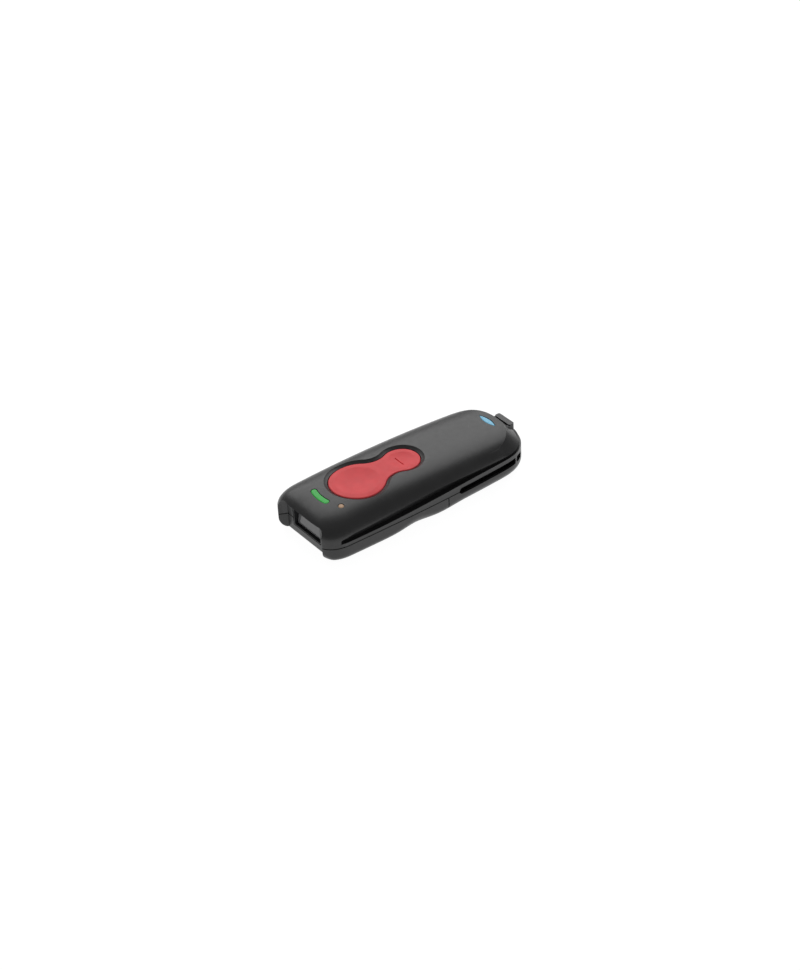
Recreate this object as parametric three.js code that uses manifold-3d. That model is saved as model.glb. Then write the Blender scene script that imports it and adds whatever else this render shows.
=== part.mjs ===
// A pocket barcode scanner, built as the separate pieces it comes apart into.
// Millimetres. +X out of the scan window, +Y to the scanner's left, +Z up out of the key.
// The origin is the middle of the underside, on the surface that the scanner rests on.
import * as THREE from "three";
import { mergeVertices } from "three/addons/utils/BufferGeometryUtils.js";
import Module from "manifold-3d";

const wasm = await Module();
wasm.setup();

// ---- Driving dimensions ----

// Plan outline: slightly tapered sides between a blunt front cap and a rounder rear cap.
const HALF_LENGTH = 63;
const HALF_WIDTH = 24.44;
const WIDEST_X = 10.5;
const FRONT_TAPER = 1.04; // width lost TAPER_LENGTH in front of the widest place
const REAR_TAPER = 2.5;
const TAPER_LENGTH = 60;
const FRONT_CAP = { length: 13.9, powerX: 2.28, powerY: 4.78 };
const REAR_CAP = { length: 21.9, powerX: 2.99, powerY: 2.17 };
const FRONT_SPINE_X = HALF_LENGTH - 0.9 * HALF_WIDTH; // the shoulders roll round a spine along Y = 0
const REAR_SPINE_X = HALF_WIDTH - HALF_LENGTH;

// Heights
const PARTING_Z = 7.95;
const PARTING_GAP = 0.45;
const GAP = 0.3; // between other neighbouring pieces
const WALL = 1.6;
const DECK_WALL = 1.3;
const CROWN = { z: 22.4, x: 15, frontSag: 3.6, rearSag: 1.76 }; // top of the deck, and its fall to either end
const FLANGE = { frontZ: 9.9, rearZ: 12, frontX: 40, rearX: -30, endRise: 0.6 }; // strip round the rim

// Round along the underside's edge: it grows at the rear, at the finger relief and in front
const EDGE = { radius: 3.6, rear: 1.6, relief: 2.9, front: 2.9 };
const RELIEF = { x: 11, length: 9 };

// The deck's vault, the bevel that cuts it off at the rear, and the groove above the flange
const VAULT = { baseZ: 11.9, power: 3.58, round: 0.527 };
const BEVEL = { foot: 1.24, footZ: 13.3, slope: 1.07, sideRise: 2.1, endRise: 0.8 };
const GROOVE = {
  topZ: 15.2, // height of the lip over the groove, highest at topX
  topX: 0,
  rearZ: 13.3,
  rearX: -60,
  endRise: 1.3,
  frontZ: 13.2,
  frontX: 54,
  frontDrop: 1.2,
  lip: 0.5,
  rim: 0.4,
  step: 2.2, // how far the wall stands in from the lip
  rearStep: 1.2,
  moat: 1, // how far the rear corners are sunk under the flange
};

// Scan key: a big pad and a small pad joined by a waist, rocking on a pin under the waist
const BIG_PAD = { x: 27.5, radius: 13.76, dishRadius: 10.7, dishDepth: 0.9 };
const SMALL_PAD = { x: 1.7, radius: 9.15, dishRadius: 6.6, dishDepth: 0.5 };
const WAIST_ROUND = 10.6;
const KEY = { drop: 0.9, bottomZ: 18.9, clearance: 0.35, collar: 2.6, collarZ: 17.05 };
const KEY_LIP = { width: 1.7, depth: 1.1 };
const PIN = { z: 18.1, radius: 0.75, boreRadius: 0.95, halfLength: 9.1 };

// Lights on the deck
const GOOD_READ = { radius: 21.3, width: 2.9, from: -17, to: 11.5 };
const BATTERY_LIGHT = { x: 45.1, y: 11.5, radius: 1.35 };
const RADIO_LIGHT = { x: -50.2, halfLength: 6, halfWidth: 1.5 };
const LIGHT_GAP = 0.2;

// Front mouth between the two rounded cheeks, and the window in its back wall
const MOUTH = {
  backX: 57.4,
  halfWidth: 15.5,
  topZ: 16.4,
  corner: 2.5,
  foot: 0.8,
  flareY: 0.03, // widening per millimetre ahead of backX
  flareZ: 0.013,
};
const WINDOW = { halfWidth: 11.15, bottomZ: 3.9, topZ: 15.3, paneTilt: 10 };

// Side slots, door seam, rear pocket with its lanyard bar, and the charging socket
const SLOT = { bottomZ: 6.4, topZ: 9.85, frontX: -14, rearX: -50.3, depth: 3.2 };
const CORNER_SLOT = { frontX: -51.5, rearX: -55.5 };
const SEAM_X = -7.3;
const LANYARD = { halfWidth: 5.8, armWidth: 1.4, outerX: -62.2, innerX: -59.2, bottomZ: 13.4, topZ: 16.8 };
const POCKET = { frontX: -56.8, halfWidth: 6.1, floorZ: 12.9 };
const SOCKET = { halfWidth: 3.75, bottomZ: 9.35, height: 2.6, mouthX: -62.3, length: 5.4 };

// Inside
const BOARD = { bottomZ: 8.3, thickness: 1, frontX: 33, inset: 5.9 };
const BOARD_TOP = BOARD.bottomZ + BOARD.thickness;
const ON_BOARD = BOARD_TOP + 0.05; // parts stand on their solder
const TRAY = { inset: 3.9, wall: 0.9, bottomZ: 1.9, ceilingZ: 7, topZ: 10.3, rearX: -58.4 };
const BAY = { frontX: -8.6, rearX: -57 };
const BULKHEAD_X = -5.65;
const DOOR_WALL = 1.5;
const FRONT_SCREW = { x: 46, y: 17.2 };
const MIDDLE_SCREW = { x: -1.5, y: 17.6 };
const SCREW = { headZ: 1.2, headHeight: 1.4, headRadius: 1.9, shankRadius: 0.8, tipZ: 12.6 };
const LABEL = { frontX: 30, rearX: 6, halfWidth: 10, recess: 0.45 };
const IMAGER = { frontX: 51.4, rearX: 39, halfWidth: 10.2, bottomZ: 4.4, topZ: 13.6 };
const LENS = { y: 0, z: 9.2, radius: 3 };
const INDICATOR_BOARD_Z = 14.3;

// How finely the drawn-out body is cut
const CAP_STEPS = 7;
const SIDE_STEPS = 6;
const SHOULDER_ROWS = [0, 0.12, 0.4, 0.75, 1]; // from the groove's lip in to the crease
const DECK_ROWS = [0.85, 0.6, 0.3, 0]; // from the crease in to the spine
const EDGE_STEPS = 5;

// ---- Materials ----

const plastic = (color, roughness = 0.5) => new THREE.MeshStandardMaterial({ color, roughness, metalness: 0 });
const metal = (color, roughness = 0.3) => new THREE.MeshStandardMaterial({ color, roughness, metalness: 1 });
const COVER = plastic(0x202022, 0.35);
const KEY_RED = plastic(0xcc4450, 0.5);
const BLACK = plastic(0x101011, 0.6);
const GREEN_LENS = plastic(0x3fa54a, 0.25);
const AMBER_LENS = plastic(0xd8924a, 0.25);
const BLUE_LENS = plastic(0x6fb4e0, 0.25);
const WINDOW_GLASS = plastic(0x77787a, 0.1);
const SILICONE = plastic(0x3a3a3d, 0.8);
const FOAM = plastic(0x1c1c1c, 0.95);
const BOARD_GREEN = plastic(0x14502c, 0.5);
const FLEX_AMBER = plastic(0xb4701e, 0.4);
const LABEL_GREY = plastic(0xb9babb, 0.6);
const CELL_BLUE = plastic(0x2a4766, 0.5);
const LED_WHITE = plastic(0xefeee2, 0.4);
const STEEL = metal(0xb9bcc0);
const TIN = metal(0xc9cccf, 0.4);
const GOLD = metal(0xd2ab55, 0.3);

// ---- Solids ----

// A closed three.js geometry as a manifold-3d solid.
function solid(geometry) {
  const bare = new THREE.BufferGeometry();
  bare.setAttribute("position", geometry.getAttribute("position").clone());
  bare.setIndex(geometry.index);
  const merged = mergeVertices(bare, 1e-4);
  const corners = merged.index.array;
  const kept = [];
  for (let i = 0; i < corners.length; i += 3) {
    const [a, b, c] = corners.slice(i, i + 3);
    if (a !== b && b !== c && c !== a) kept.push(a, b, c);
  }
  return new wasm.Manifold(
    new wasm.Mesh({
      numProp: 3,
      vertProperties: merged.getAttribute("position").array,
      triVerts: new Uint32Array(kept),
    }),
  );
}

// A manifold-3d solid as a three.js mesh with a name.
function piece(name, shape, material) {
  const { vertProperties, triVerts } = shape.getMesh();
  const geometry = new THREE.BufferGeometry();
  geometry.setAttribute("position", new THREE.BufferAttribute(vertProperties, 3));
  geometry.setIndex(new THREE.BufferAttribute(triVerts, 1));
  const faceted = geometry.toNonIndexed();
  faceted.computeVertexNormals();
  const mesh = new THREE.Mesh(faceted, material);
  mesh.name = name;
  return mesh;
}

const join = (shapes) => shapes.reduce((whole, next) => whole.add(next));

function block(x0, x1, y0, y1, z0, z1) {
  const geometry = new THREE.BoxGeometry(x1 - x0, y1 - y0, z1 - z0);
  geometry.translate((x0 + x1) / 2, (y0 + y1) / 2, (z0 + z1) / 2);
  return solid(geometry);
}

// A drum standing on Z
function drum(x, y, radius, z0, z1, sides = 16) {
  const geometry = new THREE.CylinderGeometry(radius, radius, z1 - z0, sides);
  geometry.rotateX(Math.PI / 2);
  geometry.translate(x, y, (z0 + z1) / 2);
  return solid(geometry);
}

// A drum lying along X or Y, centred at a point
function lyingDrum(axis, centre, radius, length, sides = 16) {
  const geometry = new THREE.CylinderGeometry(radius, radius, length, sides);
  if (axis === "x") geometry.rotateZ(Math.PI / 2);
  geometry.translate(...centre);
  return solid(geometry);
}

// A flat shape drawn in plan, standing from z0 to z1
function plate(shape, z0, z1, curveSegments = 8) {
  const geometry = new THREE.ExtrudeGeometry(shape, { depth: z1 - z0, bevelEnabled: false, curveSegments });
  geometry.translate(0, 0, z0);
  return solid(geometry);
}

// A shape drawn in side view (X across, Z up), reaching from y0 to y1
function strip(shape, y0, y1) {
  const depth = y1 - y0;
  const geometry = new THREE.ExtrudeGeometry(shape, { depth, bevelEnabled: false, curveSegments: 4 });
  geometry.rotateX(Math.PI / 2);
  geometry.translate(0, y1, 0);
  return solid(geometry);
}

function roundedRectangle(x0, x1, y0, y1, radius) {
  const shape = new THREE.Shape();
  shape.absarc(x1 - radius, y0 + radius, radius, -Math.PI / 2, 0);
  shape.absarc(x1 - radius, y1 - radius, radius, 0, Math.PI / 2);
  shape.absarc(x0 + radius, y1 - radius, radius, Math.PI / 2, Math.PI);
  shape.absarc(x0 + radius, y0 + radius, radius, Math.PI, 1.5 * Math.PI);
  return shape;
}

// ---- The body's form ----

const smooth = (from, to, value) => THREE.MathUtils.smoothstep(value, from, to);
const { clamp, lerp } = THREE.MathUtils;

function halfWidth(x) {
  const taper = x > WIDEST_X ? FRONT_TAPER : REAR_TAPER;
  return HALF_WIDTH - taper * ((x - WIDEST_X) / TAPER_LENGTH) ** 2;
}

// A point of an end cap, seen from the cap's base at an angle off the centre line
function capPoint(cap, direction, angle) {
  const [across, along] = [Math.sin(angle), Math.cos(angle)];
  let [low, high] = [0.5, 2];
  for (let i = 0; i < 40; i += 1) {
    const middle = (low + high) / 2;
    const size = (along * middle) ** cap.powerX + (across * middle) ** cap.powerY;
    if (size > 1) high = middle;
    else low = middle;
  }
  const x = direction * (HALF_LENGTH - cap.length + cap.length * along * low);
  return new THREE.Vector2(x, halfWidth(x) * across * low);
}

// The plan outline as stations from the front centre round the left side, the rear and the right side
function outlineStations() {
  const left = [];
  const quarter = Math.PI / 2;
  const [frontX, rearX] = [HALF_LENGTH - FRONT_CAP.length, REAR_CAP.length - HALF_LENGTH];
  for (let i = 0; i < CAP_STEPS; i += 1) left.push(capPoint(FRONT_CAP, 1, (quarter * i) / CAP_STEPS));
  for (let i = 0; i < SIDE_STEPS; i += 1) {
    const x = lerp(frontX, rearX, i / SIDE_STEPS);
    left.push(new THREE.Vector2(x, halfWidth(x)));
  }
  for (let i = CAP_STEPS; i > 0; i -= 1) left.push(capPoint(REAR_CAP, -1, (quarter * i) / CAP_STEPS));
  left.push(new THREE.Vector2(-HALF_LENGTH, 0));
  left[0].y = 0;
  const right = left.slice(1, -1).reverse();
  return [...left, ...right.map((p) => new THREE.Vector2(p.x, -p.y))];
}

const STATIONS = outlineStations();

const deckTop = (x) =>
  CROWN.z - (x > CROWN.x ? CROWN.frontSag : CROWN.rearSag) * ((x - CROWN.x) / HALF_LENGTH) ** 2;

// 0 along the sides and front, growing to 1 at the middle of the rear
function rearFacing(station) {
  const behind = Math.max(REAR_SPINE_X - station.x, 0);
  return behind === 0 ? 0 : behind / Math.hypot(behind, station.y);
}

// Part of the very end, over the charging socket
const overSocket = (station) => smooth(0.93, 0.975, rearFacing(station));

function flangeZ(station) {
  const side = lerp(FLANGE.rearZ, FLANGE.frontZ, smooth(FLANGE.rearX, FLANGE.frontX, station.x));
  return side + FLANGE.endRise * overSocket(station);
}

// Height of the lip over the groove
function grooveTopZ(station) {
  const { x } = station;
  const behind = (GROOVE.topZ - GROOVE.rearZ) * (1 - smooth(GROOVE.rearX, GROOVE.topX, x));
  const ahead = (GROOVE.topZ - GROOVE.frontZ) * smooth(GROOVE.topX, GROOVE.frontX, x);
  const drop = GROOVE.frontDrop * smooth(GROOVE.frontX - 8, GROOVE.frontX + 2, x);
  return GROOVE.topZ - behind - ahead - drop + GROOVE.endRise * smooth(0.6, 1, rearFacing(station));
}

function bevelFootZ(facing) {
  return BEVEL.footZ + BEVEL.sideRise * (1 - facing) + BEVEL.endRise * (1 - smooth(0, 0.3, facing));
}

// A point part of the way from the spine to a station
function along(station, reach) {
  const spineX = clamp(station.x, REAR_SPINE_X, FRONT_SPINE_X);
  return { x: spineX + (station.x - spineX) * reach, y: station.y * reach };
}

// The rounded deck: turned round the spine's end in front, and one long vault elsewhere
function vaultZ(station, reach) {
  const { x, y } = along(station, reach);
  const across = x > FRONT_SPINE_X ? reach : Math.abs(y) / halfWidth(x);
  const level = Math.max(0, 1 - across ** VAULT.power) ** VAULT.round;
  return VAULT.baseZ + (deckTop(x) - VAULT.baseZ) * level;
}

// The top cover's height: the vault, cut off at the rear by the bevel
function skinZ(station, reach) {
  const facing = rearFacing(station);
  if (facing === 0) return vaultZ(station, reach);
  const bevel = bevelFootZ(facing) + BEVEL.slope * (HALF_WIDTH * (1 - reach) - BEVEL.foot);
  return Math.min(vaultZ(station, reach), bevel);
}

// Where the bevel meets the vault, or a steady part of the way where there is no bevel
function creaseReach(station) {
  const steady = 0.86;
  if (rearFacing(station) === 0) return steady;
  let [low, high] = [0.4, 0.94];
  for (let i = 0; i < 30; i += 1) {
    const middle = (low + high) / 2;
    if (skinZ(station, middle) < vaultZ(station, middle) - 1e-6) high = middle;
    else low = middle;
  }
  return Math.min(low, steady);
}

// How far in from the outline the vault or the bevel stands at a height
function skinInset(station, z) {
  const level = clamp((z - VAULT.baseZ) / (deckTop(station.x) - VAULT.baseZ), 0, 1);
  const across = (1 - level ** (1 / VAULT.round)) ** (1 / VAULT.power);
  const facing = rearFacing(station);
  if (facing === 0) return HALF_WIDTH * (1 - across);
  const narrowing = halfWidth(station.x) / Math.max(Math.abs(station.y), 0.1);
  const vault = HALF_WIDTH * (1 - Math.min(across * narrowing, 1));
  return Math.max(vault, BEVEL.foot + (z - bevelFootZ(facing)) / BEVEL.slope);
}

function edgeRound({ x, y }) {
  const relief = EDGE.relief * Math.exp(-(((x - RELIEF.x) / RELIEF.length) ** 2));
  const ahead = Math.max(x - FRONT_SPINE_X, 0);
  const front = ahead && EDGE.front * smooth(0.6, 0.82, ahead / Math.hypot(ahead, y));
  return EDGE.radius + EDGE.rear * (1 - smooth(-20, 0, x)) + relief + front;
}

// A turned profile whose circles are drawn out to the body's outline.
// Each profile point says how far out it is at a station (1 is the outline) and how high.
function drawnOut(profile) {
  const unit = profile.map((_, i) => new THREE.Vector2(i === 0 || i === profile.length - 1 ? 0 : 1, i));
  const geometry = new THREE.LatheGeometry(unit, STATIONS.length);
  const position = geometry.getAttribute("position");
  for (let i = 0; i < position.count; i += 1) {
    const station = STATIONS[Math.floor(i / profile.length) % STATIONS.length];
    const { reach, z } = profile[i % profile.length](station);
    const { x, y } = along(station, reach);
    position.setXYZ(i, x, y, z);
  }
  const drawn = solid(geometry);
  if (drawn.volume() > 0) return drawn;
  geometry.index.array.reverse();
  return solid(geometry);
}

const reachAt = (inset) => 1 - inset / HALF_WIDTH;

// The whole body's outline, set in by some distance, from z0 to z1
function prism(inset, z0, z1) {
  const reach = reachAt(inset);
  return drawnOut([
    () => ({ reach: 0, z: z0 }),
    () => ({ reach, z: z0 }),
    () => ({ reach, z: z1 }),
    () => ({ reach: 0, z: z1 }),
  ]);
}

// The groove above the flange: the edge of its floor, then the foot and the top of its wall.
// In front of the groove these points follow the shoulder instead.
function grooveRows(inset, drop) {
  const grooved = (station) => 1 - smooth(GROOVE.frontX - 1, GROOVE.frontX + 0.5, station.x);
  const floorEdge = (station) => ({
    reach: reachAt(inset + GROOVE.rim * grooved(station)),
    z: flangeZ(station) - drop,
  });
  const wall = [0, 1].map((up) => (station) => {
    const [low, top] = [flangeZ(station), grooveTopZ(station)];
    const step = lerp(GROOVE.rearStep, GROOVE.step, smooth(-40, -15, station.x));
    const moat = GROOVE.moat * smooth(0.5, 0.8, rearFacing(station)) * (1 - overSocket(station));
    const z = lerp(low, top - GROOVE.lip, up);
    const wallInset = lerp(skinInset(station, z), skinInset(station, top) + step, grooved(station));
    return { reach: reachAt(inset + wallInset), z: z - moat * (1 - up) - drop };
  });
  return [floorEdge, ...wall];
}

// Everything under the top cover's outer face, set in and lowered
function underDome(inset, drop, bottomZ) {
  const shoulder = SHOULDER_ROWS.map((row) => (station) => {
    const foot = reachAt(skinInset(station, grooveTopZ(station)));
    const reach = lerp(foot, creaseReach(station), row);
    return { reach: reach - inset / HALF_WIDTH, z: skinZ(station, reach) - drop };
  });
  const deck = DECK_ROWS.map((row) => (station) => {
    const reach = creaseReach(station) * row;
    return { reach: Math.max(0, reach - inset / HALF_WIDTH), z: skinZ(station, reach) - drop };
  });
  return drawnOut([
    () => ({ reach: 0, z: bottomZ }),
    () => ({ reach: reachAt(inset), z: bottomZ }),
    (station) => ({ reach: reachAt(inset), z: flangeZ(station) - drop - 0.02 }),
    ...grooveRows(inset, drop),
    ...shoulder,
    ...deck,
  ]);
}

// Everything over the underside's outer face, set in and raised
function overUnderside(inset, raise, topZ) {
  const rows = [];
  for (let i = 0; i <= EDGE_STEPS; i += 1) {
    const angle = (Math.PI / 2) * (i / EDGE_STEPS);
    rows.push((station) => ({
      reach: reachAt(inset + edgeRound(station) * (1 - Math.sin(angle))),
      z: raise + edgeRound(station) * (1 - Math.cos(angle)),
    }));
  }
  return drawnOut([
    () => ({ reach: 0, z: raise }),
    ...rows,
    () => ({ reach: reachAt(inset), z: topZ }),
    () => ({ reach: 0, z: topZ }),
  ]);
}

// The mouth between the cheeks: an arch that widens forwards, grown by some distance
function mouth(grow = 0) {
  const [side, top, corner] = [MOUTH.halfWidth + grow, MOUTH.topZ + grow, MOUTH.corner + grow];
  const { foot } = MOUTH;
  const arch = new THREE.Shape();
  arch.moveTo(-side - foot, -5);
  arch.lineTo(side + foot, -5);
  arch.absarc(side + foot, foot, foot, 1.5 * Math.PI, Math.PI, true);
  arch.absarc(side - corner, top - corner, corner, 0, Math.PI / 2);
  arch.absarc(corner - side, top - corner, corner, Math.PI / 2, Math.PI);
  arch.absarc(-side - foot, foot, foot, 0, -Math.PI / 2, true);
  const depth = 10 + grow;
  const geometry = new THREE.ExtrudeGeometry(arch, { depth, bevelEnabled: false, curveSegments: 3 });
  const position = geometry.getAttribute("position");
  for (let i = 0; i < position.count; i += 1) {
    const ahead = position.getZ(i) - grow;
    const y = position.getX(i) * (1 + MOUTH.flareY * ahead);
    const z = position.getY(i) * (1 + MOUTH.flareZ * ahead);
    position.setXYZ(i, MOUTH.backX + ahead, y, z);
  }
  return solid(geometry);
}

function windowHole() {
  const side = WINDOW.halfWidth;
  return block(MOUTH.backX - 2 * WALL, MOUTH.backX + 1, -side, side, WINDOW.bottomZ, WINDOW.topZ);
}

// Both side slots and the small opening round each rear corner
function sideSlots() {
  const radius = (SLOT.topZ - SLOT.bottomZ) / 2;
  const middleZ = (SLOT.topZ + SLOT.bottomZ) / 2;
  const long = block(SLOT.rearX, SLOT.frontX - radius, -30, 30, SLOT.bottomZ, SLOT.topZ);
  const end = lyingDrum("y", [SLOT.frontX - radius, 0, middleZ], radius, 60);
  const corner = block(CORNER_SLOT.rearX, CORNER_SLOT.frontX, -30, 30, SLOT.bottomZ, SLOT.topZ);
  return join([long, end, corner]).subtract(prism(SLOT.depth, 0, 20));
}

// ---- The key's outline ----

// Two discs joined by a waist of two arcs that touch both, grown by some distance
function keyShape(grow = 0) {
  const [bigRadius, smallRadius] = [BIG_PAD.radius + grow, SMALL_PAD.radius + grow];
  const waist = WAIST_ROUND - grow;
  const spacing = BIG_PAD.x - SMALL_PAD.x;
  const [toBig, toSmall] = [bigRadius + waist, smallRadius + waist];
  const waistX = SMALL_PAD.x + (toSmall ** 2 - toBig ** 2 + spacing ** 2) / (2 * spacing);
  const waistY = Math.sqrt(toSmall ** 2 - (waistX - SMALL_PAD.x) ** 2);
  const bigAngle = Math.atan2(waistY, waistX - BIG_PAD.x);
  const smallAngle = Math.atan2(waistY, waistX - SMALL_PAD.x);
  const shape = new THREE.Shape();
  shape.absarc(BIG_PAD.x, 0, bigRadius, -bigAngle, bigAngle);
  shape.absarc(waistX, waistY, waist, bigAngle - Math.PI, smallAngle - Math.PI, true);
  shape.absarc(SMALL_PAD.x, 0, smallRadius, smallAngle, 2 * Math.PI - smallAngle);
  shape.absarc(waistX, -waistY, waist, Math.PI - smallAngle, Math.PI - bigAngle, true);
  return shape;
}

const WAIST_X = 10.66; // narrowest place of the key, over its pin

// A bar bent round the big pad, with round ends
function goodReadShape(grow = 0) {
  const from = THREE.MathUtils.degToRad(GOOD_READ.from);
  const to = THREE.MathUtils.degToRad(GOOD_READ.to);
  const end = GOOD_READ.width / 2 + grow;
  const at = (angle) => [BIG_PAD.x + GOOD_READ.radius * Math.cos(angle), GOOD_READ.radius * Math.sin(angle)];
  const shape = new THREE.Shape();
  shape.absarc(BIG_PAD.x, 0, GOOD_READ.radius + end, from, to);
  shape.absarc(...at(to), end, to, to + Math.PI);
  shape.absarc(BIG_PAD.x, 0, GOOD_READ.radius - end, to, from, true);
  shape.absarc(...at(from), end, from - Math.PI, from);
  return shape;
}

// A pointed lens of two arcs, lying across the deck
function radioShape(grow = 0) {
  const [long, wide] = [RADIO_LIGHT.halfLength + grow, RADIO_LIGHT.halfWidth + grow];
  const radius = (long ** 2 + wide ** 2) / (2 * wide);
  const angle = Math.asin(long / radius);
  const shape = new THREE.Shape();
  shape.absarc(RADIO_LIGHT.x + wide - radius, 0, radius, -angle, angle);
  shape.absarc(RADIO_LIGHT.x - wide + radius, 0, radius, Math.PI - angle, Math.PI + angle);
  return shape;
}

function circleShape(x, y, radius) {
  const shape = new THREE.Shape();
  shape.absarc(x, y, radius, 0, 2 * Math.PI);
  return shape;
}

// ---- Screws: where they stand, and the posts that take them ----

const SCREW_PLACES = [FRONT_SCREW, MIDDLE_SCREW].flatMap(({ x, y }) => [
  [x, y],
  [x, -y],
]);

function screw(x, y) {
  const { headZ, headHeight, headRadius, shankRadius, tipZ } = SCREW;
  const neck = headZ + headHeight;
  const outline = [
    [0, headZ],
    [headRadius - 0.6, headZ],
    [headRadius, headZ + 0.5],
    [headRadius, neck],
    [shankRadius, neck],
    [shankRadius, tipZ - 0.8],
    [0, tipZ],
  ];
  const geometry = new THREE.LatheGeometry(outline.map(([r, z]) => new THREE.Vector2(r, z)), 12);
  geometry.rotateX(Math.PI / 2);
  geometry.translate(x, y, 0);
  const cross = block(x - 1.1, x + 1.1, y - 0.25, y + 0.25, headZ - 1, headZ + 0.7);
  const bar = block(x - 0.25, x + 0.25, y - 1.1, y + 1.1, headZ - 1, headZ + 0.7);
  return solid(geometry).subtract(cross).subtract(bar);
}

// ---- Covers ----

function topCover() {
  const outside = underDome(0, 0, PARTING_Z + PARTING_GAP / 2);
  const [pocketSide, pocketWallSide] = [POCKET.halfWidth, POCKET.halfWidth + WALL];
  const pocketCut = block(-70, POCKET.frontX, -pocketSide, pocketSide, POCKET.floorZ, 30);
  const pocketWall = block(-70, POCKET.frontX + WALL, -pocketWallSide, pocketWallSide, POCKET.floorZ - 0.7, 30);
  const inside = underDome(WALL, DECK_WALL, PARTING_Z - 1).subtract(mouth(WALL)).subtract(pocketWall);
  const underDeck = underDome(WALL / 2, WALL / 2, PARTING_Z);
  const collar = plate(keyShape(KEY.collar), KEY.collarZ, CROWN.z + 1).intersect(underDeck);
  const posts = SCREW_PLACES.map(([x, y]) => drum(x, y, 2.4, PARTING_Z + 0.5, CROWN.z).intersect(underDeck));
  const pilots = SCREW_PLACES.map(([x, y]) => drum(x, y, 0.95, PARTING_Z, SCREW.tipZ + 0.6, 12));
  const lip = plate(keyShape(KEY_LIP.width), CROWN.z - 6, CROWN.z + 1).subtract(underDome(0, KEY_LIP.depth, 0));
  const [socketSide, socketTop] = [SOCKET.halfWidth + 0.35, SOCKET.bottomZ + SOCKET.height + 0.25];
  const cuts = [
    mouth(),
    windowHole(),
    pocketCut,
    sideSlots(),
    plate(keyShape(KEY.clearance), KEY.collarZ - 1, CROWN.z + 2),
    lip,
    lyingDrum("y", [WAIST_X, 0, PIN.z], PIN.boreRadius, 2 * PIN.halfLength + 0.4, 12),
    plate(goodReadShape(LIGHT_GAP), 15, CROWN.z + 2),
    plate(circleShape(BATTERY_LIGHT.x, BATTERY_LIGHT.y, BATTERY_LIGHT.radius + LIGHT_GAP), 15, CROWN.z + 2, 6),
    plate(radioShape(LIGHT_GAP), 15, CROWN.z + 2),
    block(-65, SOCKET.mouthX + SOCKET.length + 0.3, -socketSide, socketSide, SOCKET.bottomZ - 0.35, socketTop),
    ...armHoles(),
    ...pilots,
  ];
  return join([outside.subtract(inside), collar, ...posts]).subtract(join(cuts));
}

// Holes in the pocket's front wall that the lanyard bar's arms pass through
function armHoles() {
  const { halfWidth: side, armWidth, bottomZ, topZ } = LANYARD;
  return [1, -1].map((hand) => {
    const edges = [hand * (side - armWidth - 0.2), hand * (side + 0.2)].sort((a, b) => a - b);
    return block(POCKET.frontX - 1, POCKET.frontX + WALL + 1, ...edges, bottomZ + 0.8, topZ - 0.3);
  });
}

// The lower shell before it is split into the front cover and the battery door
function lowerShell() {
  const outside = overUnderside(0, 0, PARTING_Z - PARTING_GAP / 2);
  const inside = overUnderside(DOOR_WALL, DOOR_WALL, PARTING_Z + 1).subtract(mouth(WALL));
  return outside.subtract(inside).subtract(mouth()).subtract(windowHole());
}

function bottomCover() {
  const front = lowerShell().intersect(block(SEAM_X + GAP / 2, 70, -30, 30, -1, 20));
  const seam = SEAM_X + GAP / 2;
  const bulkhead = overUnderside(1, 1, BOARD.bottomZ - GAP).intersect(
    block(seam, BULKHEAD_X, -30, 30, 0, 20));
  const tongue = prism(1.2, 6, PARTING_Z - PARTING_GAP / 2)
    .add(prism(1.85, 6, 8.35))
    .subtract(prism(2.7, 0, 20))
    .intersect(block(BULKHEAD_X, 70, -30, 30, 0, 20))
    .subtract(mouth(WALL + 0.25));
  const { inset, wall, bottomZ, ceilingZ, topZ, rearX } = TRAY;
  const clearOfDoor = overUnderside(DOOR_WALL + 0.5, DOOR_WALL + 0.4, 20);
  const clearOfCover = underDome(WALL + GAP, DECK_WALL + GAP, 0);
  const span = block(rearX, BULKHEAD_X, -30, 30, 0, 20);
  const tray = prism(inset, bottomZ, topZ).intersect(clearOfDoor).intersect(clearOfCover).intersect(span);
  const bay = prism(inset + wall, 0, ceilingZ).intersect(block(BAY.rearX, BAY.frontX, -30, 30, -1, 20));
  const boardWell = prism(inset + wall, BOARD.bottomZ - GAP, topZ + 5).intersect(
    block(-70, BULKHEAD_X + 1, -30, 30, 0, 20));
  const socketWell = block(-65, -54, -5.2, 5.2, BOARD.bottomZ - GAP, 20);
  const ribs = [-1, 1].map((hand) => block(41, 49, hand * 7 - 1, hand * 7 + 1, 1, IMAGER.bottomZ - 0.15));
  const posts = SCREW_PLACES.map(([x, y]) => drum(x, y, 2.9, 1, PARTING_Z - 0.1));
  const wells = SCREW_PLACES.map(([x, y]) => drum(x, y, 2.15, -1, SCREW.headZ + SCREW.headHeight + 0.1));
  const holes = SCREW_PLACES.map(([x, y]) => drum(x, y, 1, 0, 12, 12));
  const label = block(LABEL.rearX, LABEL.frontX, -LABEL.halfWidth, LABEL.halfWidth, -1, LABEL.recess);
  return join([front, bulkhead, tray, ...ribs, ...posts])
    .subtract(join([bay, boardWell, socketWell]))
    .add(tongue)
    .subtract(join([label, ...wells, ...holes]));
}

function batteryDoor() {
  const rear = lowerShell().intersect(block(-70, SEAM_X - GAP / 2, -30, 30, -1, 20));
  return rear.subtract(sideSlots());
}

// ---- Key ----

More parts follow.
